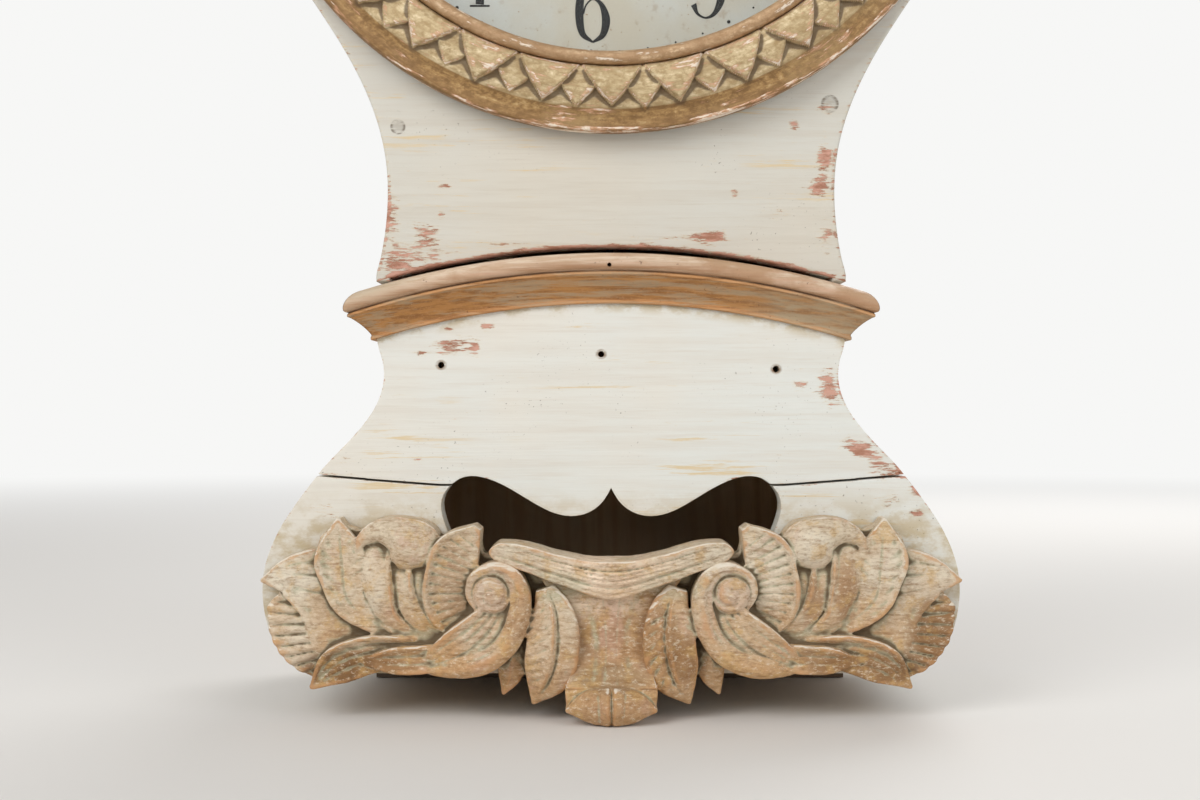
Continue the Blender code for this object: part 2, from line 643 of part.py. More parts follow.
def build_carving():
    ground_y = FRONT_Y - GAP
    face_y = ground_y - CARVED_GROUND
    for name, side in (("carved_leaves_right", 1), ("carved_leaves_left", -1)):
        bm = bmesh.new()
        prism(bm, flip(scaled(GROUND_OUTLINE), side), face_y, ground_y)
        group = piece(name, bm, CARVED)
        for spine, half_width, rise in LEAVES:
            bm = leaf(flip(spine, side), half_width * MM, face_y + SINK, rise * MM)
            shape_with(group, bm, "UNION")
        bm = bmesh.new()
        centre = (side * VOLUTE_AT[0], VOLUTE_AT[1])
        root_y = face_y + CARVED_GROUND * 0.4
        turned(bm, [(0, root_y), (VOLUTE_RADIUS, root_y), (VOLUTE_RADIUS, face_y - VOLUTE_RISE * 0.67),
                    (VOLUTE_RADIUS * 0.75, face_y - VOLUTE_RISE), (EYE_RADIUS, face_y - VOLUTE_RISE * 0.83),
                    (EYE_RADIUS, face_y - EYE_RISE * 0.91), (0, face_y - EYE_RISE)], centre, 20)
        shape_with(group, bm, "UNION")

    bm = bmesh.new()
    foot = FOOT_HEIGHT + GAP
    rise = CORNICE_UNDER_Z - GAP - foot
    stem = [(0, foot + rise), (STEM_WAIST, foot + rise), (STEM_HALF, foot + rise * 0.92),
            (STEM_WAIST, foot + rise * 0.6), (STEM_WAIST, foot + rise * 0.38), (STEM_HALF, foot)]
    prism(bm, stem + mirrored(stem)[:-1], ground_y - STEM_PROJECTION, ground_y)
    piece("bracket_stem", bm, CARVED)

    bm = bmesh.new()
    half, end_z = CORNICE_END
    top = curve((0, CORNICE_TOP_Z), (half * 0.41, CORNICE_TOP_Z),
                (half * 0.69, CORNICE_TOP_Z + (end_z - CORNICE_TOP_Z) * 0.61), CORNICE_END, 6)
    under = curve((half, end_z - CORNICE_EDGE), (half * 0.79, (end_z + CORNICE_UNDER_Z) / 2),
                  (half * 0.59, CORNICE_UNDER_Z), (0, CORNICE_UNDER_Z), 6)
    right = top + under
    prism(bm, right + mirrored(right)[1:-1], ground_y - CORNICE_PROJECTION, ground_y)
    piece("bracket_cornice", bm, CARVED)

    bm = bmesh.new()
    front_y = FRONT_Y - FOOT_PROJECTION
    block(bm, (-FOOT_HALF, FOOT_HALF), (front_y, ground_y), (0, FOOT_HEIGHT))
    corners = [e for e in bm.edges if max(v.co.y for v in e.verts) < ground_y - GAP
               and max(v.co.z for v in e.verts) > FOOT_HEIGHT / 2]
    bmesh.ops.bevel(bm, geom=corners, offset=FOOT_ROUND, segments=3, profile=0.5, affect="EDGES")
    piece("front_foot", bm, CARVED, smooth=True)


# Hood and bezel door

def build_hood():
    hood = axis_empty("hood_slide", (0, 0, 0))
    flank = hood_flank()
    inner_heel = HOOD_FOOT_HALF - HOOD_HEEL
    across = [inner_heel * (i / 8 - 1) for i in range(17)]
    arch = [(x, arch_z(x, HOOD_ARCH_Z, HOOD_ARCH_RADIUS)) for x in across]
    heels = [(-inner_heel, HOOD_FOOT_Z)] + arch + [(inner_heel, HOOD_FOOT_Z)]
    bm = bmesh.new()
    prism(bm, heels + flank + head_arc()[1:-1] + mirrored(flank), FRONT_Y, INNER_Y)
    board = piece("hood_front_board", bm, CREAM, parent=hood)
    bm = bmesh.new()
    rod(bm, (0, FRONT_Y - FRONT_BOARD, HEAD_Z), (0, INNER_Y + FRONT_BOARD, HEAD_Z), OPENING_RADIUS, RING_SIDES)
    shape_with(board, bm, "DIFFERENCE")

    for name, side in (("hood_side_right", 1), ("hood_side_left", -1)):
        bm = bmesh.new()
        prism(bm, flip(band(flank, WALL), side), INNER_Y + GAP, REAR_Y - GAP)
        piece(name, bm, CREAM, parent=hood)
    bm = bmesh.new()
    prism(bm, head_arc(0, GAP) + head_arc(WALL, GAP)[::-1], INNER_Y + GAP, REAR_Y - GAP)
    piece("hood_rim", bm, CREAM, parent=hood, smooth=True)
    return hood


def bezel_section():
    """Section of the gilded ring, (radius, y): flat back, raised leaf band, hollow and rounded edge."""
    inner = BEZEL_INNER + BEAD_WIDTH + GAP
    run = BEZEL_OUTER - inner
    back, front = BEZEL_BACK, BEZEL_BACK - BEZEL_DEPTH
    shape = [(0.0, 0.62), (0.06, 0.86), (0.18, 1.0), (0.62, 0.80), (0.64, 0.66), (0.80, 0.58),
             (0.95, 0.40), (1.0, 0.20)]
    return ([(inner, back)] + [(inner + a * run, back + b * (front - back)) for a, b in shape]
            + [(BEZEL_OUTER - BEZEL_CHAMFER, back)])


def rolled_leaf(side, roll, sheet, leaf_end):
    """Section of a hinge leaf, (x, y): a flat strap rolled round the pin."""
    bend = [math.radians(a) for a in range(0, 271, 45)]
    outer, inner = [
        [(HINGE_X + r * math.sin(a), HINGE_Y - side * r * math.cos(a)) for a in bend]
        for r in (roll + sheet, roll - sheet)]
    return ([(leaf_end, HINGE_Y - side * (roll + sheet))] + outer + inner[::-1]
            + [(leaf_end, HINGE_Y - side * (roll - sheet))])


def build_bezel(hood):
    hinge = axis_empty("bezel_hinge_axis", (HINGE_X, HINGE_Y, HEAD_Z))
    at = (HINGE_X, HINGE_Y, HEAD_Z)
    bm = bmesh.new()
    turned(bm, bezel_section(), CENTRE_AT, RING_SIDES, ring=True)
    piece("bezel_ring", bm, GILT, at, hinge, smooth=True)

    bead_outer = BEZEL_INNER + BEAD_WIDTH
    bead_front = BEZEL_BACK - BEAD_DEPTH
    seat_y = BEZEL_BACK - GLASS_SEAT
    rebate = OPENING_RADIUS + GAP
    crown = [(BEZEL_INNER + BEAD_WIDTH / 2 * (1 + math.cos(math.pi * i / 4)),
              bead_front + BEAD_WIDTH / 2 * (1 - math.sin(math.pi * i / 4))) for i in range(5)]
    bm = bmesh.new()
    turned(bm, [(bead_outer, BEZEL_BACK)] + crown
           + [(BEZEL_INNER, seat_y - GAP), (rebate, seat_y - GAP), (rebate, BEZEL_BACK)],
           CENTRE_AT, RING_SIDES, ring=True)
    piece("bezel_bead", bm, GILT, at, hinge, smooth=True)

    bm = bmesh.new()
    rod(bm, (0, seat_y, HEAD_Z), (0, seat_y + GLASS, HEAD_Z), OPENING_RADIUS, RING_SIDES)
    piece("dial_glass", bm, PANE, at, hinge, smooth=True)
    bm = bmesh.new()
    keep_y = seat_y + GLASS + GAP
    turned(bm, [(OPENING_RADIUS, BEZEL_BACK), (OPENING_RADIUS, keep_y), (OPENING_RADIUS - RETAINER, keep_y),
                (OPENING_RADIUS - RETAINER / 3, BEZEL_BACK)], CENTRE_AT, RING_SIDES, ring=True)
    piece("glass_retainer", bm, PINE, at, hinge, smooth=True)

    sheet = HINGE_SHEET / 2
    roll = HINGE_PIN + RUN + sheet
    half = HINGE_KNUCKLE / 2
    high = HINGE_KNUCKLE * 1.5
    leaf_end = HINGE_X - HINGE_LEAF
    for place, middle in (("upper", HEAD_Z + HINGE_SPREAD), ("lower", HEAD_Z - HINGE_SPREAD)):
        bm = bmesh.new()
        prism(bm, rolled_leaf(-1, roll, sheet, leaf_end), middle - half, middle + half, axis="Z")
        piece(f"hinge_leaf_fixed_{place}", bm, BRASS, parent=hood)
        bm = bmesh.new()
        prism(bm, rolled_leaf(1, roll, sheet, leaf_end), middle + half + GAP, middle + high, axis="Z")
        moving = piece(f"hinge_leaf_moving_{place}", bm, BRASS, at, hinge)
        bm = bmesh.new()
        prism(bm, rolled_leaf(1, roll, sheet, leaf_end), middle - high, middle - half - GAP, axis="Z")
        shape_with(moving, bm, "UNION")
        bm = bmesh.new()
        web = sheet * 0.8
        web_y = HINGE_Y - roll
        block(bm, (leaf_end + sheet, leaf_end + HINGE_LEAF * 0.6), (web_y - web, web_y + web),
              (middle - high + sheet, middle + high - sheet))
        shape_with(moving, bm, "UNION")
        bm = bmesh.new()
        reach = high + sheet
        rod(bm, (HINGE_X, HINGE_Y, middle - reach), (HINGE_X, HINGE_Y, middle + reach), HINGE_PIN, 8)
        piece(f"hinge_pin_{place}", bm, STEEL, parent=hood, smooth=True)


# Movement

def gear(teeth, module, phase, pinion=False):
    """Outline of a toothed wheel about its centre; widths are shares of the tooth pitch."""
    width, tip = (0.34, 0.20) if pinion else (0.36, 0.0)
    above, below = (0.60, 1.05) if pinion else (0.85, 1.10)
    root = width + (width - tip) / above * below
    pitch = math.tau / teeth
    radius = teeth * module / 2
    crown = ((-tip, above), (tip, above)) if pinion else ((0, above),)
    flank = ((-root, -below), *crown, (root, -below))
    outline = []
    for k in range(teeth):
        for share, height in flank:
            angle = phase + (k + share / 2) * pitch
            r = radius + height * module
            outline.append((r * math.cos(angle), r * math.sin(angle)))
    return outline


def moved(outline, at):
    """An outline carried to its place."""
    return [(x + at[0], z + at[1]) for x, z in outline]


def mesh_phases(driver_at, driven_at, driven_teeth):
    """Turn of two wheels that puts a tooth of the first between two teeth of the second."""
    towards = math.atan2(driven_at[1] - driver_at[1], driven_at[0] - driver_at[0])
    return towards, towards + math.pi + math.pi / driven_teeth


def crossings(bm, at, rim, y, arms=4):
    """Openings between the arms of a wheel."""
    for k in range(arms):
        middle = math.tau * (k + 0.5) / arms
        outer = math.pi / arms - WHEEL_ARM / 2 / rim
        inner = math.pi / arms - WHEEL_ARM / 2 / WHEEL_HUB
        prism(bm, arc(at, rim, middle - outer, middle + outer, 6)
              + arc(at, WHEEL_HUB, middle + inner, middle - inner, 2), *y)


def train_wheel(name, at, wheel, wheel_place, leaves, leaf_place):
    """Brass wheel and steel pinion fast on one arbor."""
    parent = axis_empty(name + "_axis", (at[0], 0, at[1]))
    bm = bmesh.new()
    prism(bm, moved(wheel, at), *depth(wheel_place))
    made = piece(name, bm, BRASS, (at[0], 0, at[1]), parent)
    bm = bmesh.new()
    front, back = depth(wheel_place)
    rim = min(math.hypot(x, z) for x, z in wheel) - WHEEL_RIM
    crossings(bm, at, rim, (front - PLATE, back + PLATE))
    shape_with(made, bm, "DIFFERENCE")
    bm = bmesh.new()
    prism(bm, moved(leaves, at), *depth(leaf_place))
    shape_with(made, bm, "UNION")
    return made, parent


def arbor(made, at, front, back, radius=ARBOR):
    """Join a round arbor on to a piece."""
    bm = bmesh.new()
    rod(bm, (at[0], front, at[1]), (at[0], back, at[1]), radius, 12)
    shape_with(made, bm, "UNION")


def build_frame():
    holes = [(CENTRE_AT, ARBOR), (THIRD_AT, ARBOR), (ESCAPE_AT, ARBOR), (ANCHOR_AT, ARBOR),
             (BARREL_AT, BARREL_ARBOR)]
    corners = [(sx * (PLATE_HALF - PILLAR_INSET), HEAD_Z + z) for sx in (-1, 1)
               for z in (PILLAR_INSET - PLATE_BELOW, PLATE_ABOVE - PILLAR_INSET)]
    plates = []
    for name, front in (("front_plate", FRONT_PLATE_Y), ("back_plate", BACK_PLATE_Y)):
        bm = bmesh.new()
        block(bm, (-PLATE_HALF, PLATE_HALF), (front, front + PLATE),
              (HEAD_Z - PLATE_BELOW, HEAD_Z + PLATE_ABOVE))
        plate = piece(name, bm, BRASS)
        bm = bmesh.new()
        tenon_holes = [(corner, TENON) for corner in corners]
        for at, radius in holes if name == "back_plate" else holes + tenon_holes:
            rod(bm, (at[0], front - PLATE, at[1]), (at[0], front + PLATE * 2, at[1]), radius + BORE_RUN, 12)
        shape_with(plate, bm, "DIFFERENCE")
        plates.append(plate)

    bm = bmesh.new()
    for at in corners:
        ends = (FRONT_PLATE_Y - ARBOR_END, TRAIN_Y + GAP, BACK_PLATE_Y + PLATE + ARBOR_END)
        turned(bm, [(0, ends[0]), (TENON, ends[0]), (TENON, ends[1]), (PILLAR, ends[1]),
                    (PILLAR, ends[2]), (0, ends[2])], at, 12)
    shape_with(plates[1], bm, "UNION")
    bm = bmesh.new()
    studs = ((MINUTE_AT, MINUTE_STUD_LENGTH, MINUTE_STUD), (CLICK_AT, RATCHET_PLACE[1], ARBOR))
    for at, length, radius in studs:
        rod(bm, (at[0], FRONT_PLATE_Y - length, at[1]), (at[0], TRAIN_Y - PLATE / 2, at[1]), radius, 12)
    shape_with(plates[0], bm, "UNION")

    bm = bmesh.new()
    block(bm, (-SEAT_HALF, SEAT_HALF), (SEAT_FRONT, SEAT_BACK), (SEAT_TOP - SEAT_BOARD, SEAT_TOP))
    seat = piece("seat_board", bm, PINE)
    screw_x = PLATE_HALF - PILLAR_INSET
    screw_y = (TRAIN_Y + BACK_PLATE_Y) / 2
    under = SEAT_TOP - SEAT_BOARD
    bm = bmesh.new()
    for x in (-screw_x, screw_x):
        rod(bm, (x, screw_y, under - SEAT_BOARD), (x, screw_y, SEAT_TOP + SEAT_BOARD),
            SEAT_SCREW + BORE_RUN, 12)
    shape_with(seat, bm, "DIFFERENCE")
    pillar_under = HEAD_Z - PLATE_BELOW + PILLAR_INSET - PILLAR
    head = (under - GAP - SEAT_SCREW * 2, under - GAP)
    for name, x in (("seat_screw_right", screw_x), ("seat_screw_left", -screw_x)):
        bm = bmesh.new()
        rod(bm, (x, screw_y, head[0]), (x, screw_y, head[1]), SEAT_SCREW * 2.2, 12)
        screw = piece(name, bm, STEEL)
        bm = bmesh.new()
        rod(bm, (x, screw_y, head[0] + SEAT_SCREW), (x, screw_y, pillar_under - GAP), SEAT_SCREW, 12)
        shape_with(screw, bm, "UNION")
    for name, side in (("seat_upright_right", 1), ("seat_upright_left", -1)):
        bm = bmesh.new()
        x = sorted((side * (UPRIGHT_X - UPRIGHT / 2), side * (UPRIGHT_X + UPRIGHT / 2)))
        block(bm, x, (SEAT_FRONT, SEAT_BACK), (DECK_TOP + GAP, under - GAP))
        piece(name, bm, PINE)


def build_dial():
    bm = bmesh.new()
    rod(bm, (0, DIAL_Y, HEAD_Z), (0, DIAL_Y + DIAL_SHEET, HEAD_Z), DIAL_RADIUS, RING_SIDES)
    dial = piece("dial", bm, DIAL_PAINT)
    bm = bmesh.new()
    past = (DIAL_Y - DIAL_SHEET, DIAL_Y + DIAL_SHEET * 2)
    for at, radius in ((CENTRE_AT, HOUR_PIPE + DIAL_CLEAR), (BARREL_AT, WINDING_HOLE)):
        rod(bm, (at[0], past[0], at[1]), (at[0], past[1], at[1]), radius, 16)
    shape_with(dial, bm, "DIFFERENCE")
    bm = bmesh.new()
    for x in (-1, 1):
        for z in (PLATE_ABOVE - 4 * PILLAR_INSET, 3 * PILLAR_INSET - PLATE_BELOW):
            at = (x * (PLATE_HALF - PILLAR_INSET * 1.5), HEAD_Z + z)
            rod(bm, (at[0], DIAL_Y + DIAL_SHEET / 2, at[1]), (at[0], FRONT_PLATE_Y - GAP, at[1]), TENON, 10)
    shape_with(dial, bm, "UNION")


def build_barrel():
    at = BARREL_AT
    parent = axis_empty("barrel_axis", (at[0], 0, at[1]))
    origin = (at[0], 0, at[1])
    front, back = depth(GREAT_PLACE)
    drum_end = back + BARREL_LENGTH
    great_phase, _ = mesh_phases(at, CENTRE_AT, PINION_LEAVES)
    bm = bmesh.new()
    prism(bm, moved(gear(GREAT_TEETH, GREAT_MODULE, great_phase), at), front, back)
    barrel = piece("mainspring_barrel", bm, BRASS, origin, parent)
    bm = bmesh.new()
    drum_inner = BARREL_RADIUS - BARREL_WALL
    turned(bm, [(BARREL_RADIUS, back - SINK), (BARREL_RADIUS, drum_end), (drum_inner, drum_end),
                (drum_inner, back - SINK)], at, 32, ring=True)
    shape_with(barrel, bm, "UNION")
    bm = bmesh.new()
    bore = BARREL_ARBOR + BORE_RUN
    rod(bm, (at[0], front - PLATE, at[1]), (at[0], back + PLATE, at[1]), bore, 16)
    shape_with(barrel, bm, "DIFFERENCE")

    bm = bmesh.new()
    lid = drum_end + GAP
    turned(bm, [(BARREL_RADIUS, lid), (BARREL_RADIUS, lid + BARREL_LID), (bore, lid + BARREL_LID),
                (bore, lid)], at, 32, ring=True)
    piece("barrel_cover", bm, BRASS, origin, parent, smooth=True)

    outer = drum_inner - GAP * 2
    inner = BARREL_ARBOR + SPRING_STRIP + GAP * 3
    steps = SPRING_TURNS * 12
    spiral = []
    for i in range(steps + 1):
        share = i / steps
        angle = share * SPRING_TURNS * math.tau
        radius = inner + (outer - inner) * share
        spiral.append((at[0] + radius * math.cos(angle), at[1] + radius * math.sin(angle)))
    bm = bmesh.new()
    prism(bm, band(spiral, SPRING_STRIP), back + GAP, drum_end - GAP)
    piece("mainspring", bm, STEEL, origin, parent)


def build_winding():
    at = BARREL_AT
    origin = (at[0], 0, at[1])
    winding = axis_empty("winding_axis", origin)
    bm = bmesh.new()
    ratchet_y = (FRONT_PLATE_Y - RATCHET_PLACE[1], FRONT_PLATE_Y - RATCHET_PLACE[0])
    pitch = math.tau / RATCHET_TEETH
    outline = []
    for k in range(RATCHET_TEETH):
        for share, radius in ((0.0, RATCHET_RADIUS - RATCHET_TOOTH), (0.9, RATCHET_RADIUS)):
            angle = (k + share) * pitch
            outline.append((at[0] + radius * math.cos(angle), at[1] + radius * math.sin(angle)))
    prism(bm, outline, *ratchet_y)
    wind = piece("winding_arbor", bm, STEEL, origin, winding)
    arbor(wind, at, ratchet_y[0] - ARBOR_END, BACK_PLATE_Y + PLATE + ARBOR_END, BARREL_ARBOR)
    bm = bmesh.new()
    half = WINDING_SQUARE / 2
    block(bm, (at[0] - half, at[0] + half), (DIAL_Y - SQUARE_OUT, ratchet_y[1] - SINK),
          (at[1] - half, at[1] + half))
    shape_with(wind, bm, "UNION")

    pivot = CLICK_AT
    click = axis_empty("click_axis", (pivot[0], 0, pivot[1]))
    tip_radius = RATCHET_RADIUS + CLICK_CLEAR
    tip = (at[0] + tip_radius * math.cos(CLICK_TIP), at[1] + tip_radius * math.sin(CLICK_TIP))
    back = (tip[0] + CLICK_BACK[0], tip[1] + CLICK_BACK[1])
    bm = bmesh.new()
    prism(bm, [tip] + arc(pivot, CLICK_EYE, math.radians(-140), math.radians(100), 8) + [back], *ratchet_y)
    pawl = piece("click", bm, STEEL, (pivot[0], 0, pivot[1]), click)
    bm = bmesh.new()
    rod(bm, (pivot[0], ratchet_y[0] - PLATE, pivot[1]), (pivot[0], ratchet_y[1] + PLATE, pivot[1]),
        ARBOR + BORE_RUN, 12)
    shape_with(pawl, bm, "DIFFERENCE")
    bm = bmesh.new()
    over = pivot[1] + CLICK_EYE + GAP
    strip = [(pivot[0] + CLICK_SPRING[0] * share, over + CLICK_SPRING[1] * share) for share in (1, 0.5, 0)]
    prism(bm, band(strip, -CLICK_STRIP), ratchet_y[0], FRONT_PLATE_Y - GAP)
    piece("click_spring", bm, STEEL)


def build_train():
    third_phase = mesh_phases(CENTRE_AT, THIRD_AT, PINION_LEAVES)
    escape_phase = mesh_phases(THIRD_AT, ESCAPE_AT, PINION_LEAVES)
    _, centre_leaf_phase = mesh_phases(BARREL_AT, CENTRE_AT, PINION_LEAVES)
    back_end = BACK_PLATE_Y + PLATE + ARBOR_END
    front_end = FRONT_PLATE_Y - ARBOR_END
    hand_end = DIAL_Y - HAND_ARBOR_OUT

    centre, centre_axis = train_wheel(
        "centre_wheel", CENTRE_AT, gear(CENTRE_TEETH, CENTRE_MODULE, third_phase[0]), CENTRE_PLACE,
        gear(PINION_LEAVES, GREAT_MODULE, centre_leaf_phase, True), CENTRE_PINION_PLACE)
    arbor(centre, CENTRE_AT, hand_end, back_end)
    third, _ = train_wheel(
        "third_wheel", THIRD_AT, gear(THIRD_TEETH, THIRD_MODULE, escape_phase[0]), THIRD_PLACE,
        gear(PINION_LEAVES, CENTRE_MODULE, third_phase[1], True), THIRD_PINION_PLACE)
    arbor(third, THIRD_AT, front_end, back_end)
    teeth = []
    for k in range(ESCAPE_TEETH):
        for share, cut in ((0.0, 1.0), (0.12, 0.0), (0.3, 0.75)):
            radius = ESCAPE_RADIUS - ESCAPE_TOOTH * cut
            angle = (k + share) * math.tau / ESCAPE_TEETH
            teeth.append((radius * math.cos(angle), radius * math.sin(angle)))
    escape, _ = train_wheel(
        "escape_wheel", ESCAPE_AT, teeth, ESCAPE_PLACE,
        gear(PINION_LEAVES, THIRD_MODULE, escape_phase[1], True), ESCAPE_PINION_PLACE)
    arbor(escape, ESCAPE_AT, front_end, back_end)
    return centre_axis, hand_end


def build_motion_work(centre_axis, hand_end):
    cannon_module = 2 * MOTION_DISTANCE / (CANNON_LEAVES + MINUTE_TEETH)
    hour_module = 2 * MOTION_DISTANCE / (PINION_LEAVES + HOUR_TEETH)
    cannon_phase = mesh_phases(CENTRE_AT, MINUTE_AT, MINUTE_TEETH)
    hour_phase = mesh_phases(CENTRE_AT, MINUTE_AT, PINION_LEAVES)
    centre_at = (0, 0, HEAD_Z)
    minute_hand_y = DIAL_Y - MINUTE_HAND_OUT
    hour_hand_y = DIAL_Y - HOUR_HAND_OUT
    cannon_y, minute_y, hour_y = [(FRONT_PLATE_Y - place[1], FRONT_PLATE_Y - place[0])
                                  for place in (CANNON_PLACE, MINUTE_PLACE, HOUR_PLACE)]
    past = (hand_end - SINK, FRONT_PLATE_Y + PLATE)

    bm = bmesh.new()
    prism(bm, moved(gear(CANNON_LEAVES, cannon_module, cannon_phase[0], True), CENTRE_AT), *cannon_y)
    cannon = piece("cannon_pinion", bm, STEEL, centre_at, centre_axis)
    arbor(cannon, CENTRE_AT, minute_hand_y - HAND_SHEET, cannon_y[1] - SINK, CANNON_PIPE)
    bm = bmesh.new()
    rod(bm, (0, past[0], HEAD_Z), (0, past[1], HEAD_Z), ARBOR + BORE_RUN, 12)
    shape_with(cannon, bm, "DIFFERENCE")

    at = (MINUTE_AT[0], 0, MINUTE_AT[1])
    minute_axis = axis_empty("minute_wheel_axis", at)
    bm = bmesh.new()
    prism(bm, moved(gear(MINUTE_TEETH, cannon_module, cannon_phase[1]), MINUTE_AT), *minute_y)
    minute = piece("minute_wheel", bm, BRASS, at, minute_axis)
    bm = bmesh.new()
    prism(bm, moved(gear(PINION_LEAVES, hour_module, hour_phase[1], True), MINUTE_AT),
          hour_y[0] - SINK / 2, minute_y[1] - SINK / 2)
    shape_with(minute, bm, "UNION")
    bm = bmesh.new()
    rod(bm, (at[0], past[0], at[2]), (at[0], past[1], at[2]), MINUTE_STUD + RUN, 12)
    shape_with(minute, bm, "DIFFERENCE")

    hour_axis = axis_empty("hour_axis", centre_at)
    bm = bmesh.new()
    prism(bm, moved(gear(HOUR_TEETH, hour_module, hour_phase[0]), CENTRE_AT), *hour_y)
    hour = piece("hour_wheel", bm, BRASS, centre_at, hour_axis)
    arbor(hour, CENTRE_AT, hour_hand_y - HAND_SHEET, hour_y[1] - SINK / 2, HOUR_PIPE)
    bm = bmesh.new()
    rod(bm, (0, past[0], HEAD_Z), (0, past[1], HEAD_Z), CANNON_PIPE + BORE_RUN, 16)
    shape_with(hour, bm, "DIFFERENCE")

    hands = (("hour_hand", hour_axis, HOUR_HAND, HOUR_PIPE, hour_hand_y, HANDS_SHOWN[0]),
             ("minute_hand", centre_axis, MINUTE_HAND, CANNON_PIPE, minute_hand_y, HANDS_SHOWN[1]))
    for name, parent, length, pipe, y, clockwise in hands:
        boss = pipe + HAND_BOSS
        bm = bmesh.new()
        right = [(HAND_STALK, boss * 0.6), (HAND_STALK, length * 0.66), (HAND_SPADE, length * 0.74),
                 (HAND_STALK, length * 0.84)]
        prism(bm, [(0, length)] + mirrored(right) + right, y - HAND_SHEET, y)
        bmesh.ops.rotate(bm, verts=bm.verts, cent=(0, 0, 0), matrix=Matrix.Rotation(clockwise, 3, "Y"))
        bmesh.ops.translate(bm, verts=bm.verts, vec=centre_at)
        hand = piece(name, bm, IRON, centre_at, parent)
        bm = bmesh.new()
        rod(bm, (0, y - HAND_SHEET, HEAD_Z), (0, y, HEAD_Z), boss, 16)
        shape_with(hand, bm, "UNION")
        bm = bmesh.new()
        rod(bm, (0, past[0], HEAD_Z), (0, past[1], HEAD_Z), pipe + RUN, 16)
        shape_with(hand, bm, "DIFFERENCE")

    bm = bmesh.new()
    collet = minute_hand_y - HAND_SHEET - GAP
    bore = ARBOR + BORE_RUN
    nose = hand_end + ARBOR_END
    turned(bm, [(bore, collet), (COLLET_RADIUS, collet), ((bore + COLLET_RADIUS) / 2, nose), (bore, nose)],
           CENTRE_AT, 16, ring=True)
    piece("hand_collet", bm, BRASS, centre_at, centre_axis, smooth=True)


# Right half of the anchor about its arbor, in millimetres
ANCHOR_OUTLINE = [(0, 4.5), (5, 3), (15.5, -7), (16.2, -12.6), (13.2, -11.4), (12.2, -7.5), (4, -2.8),
                  (0, -3.5)]


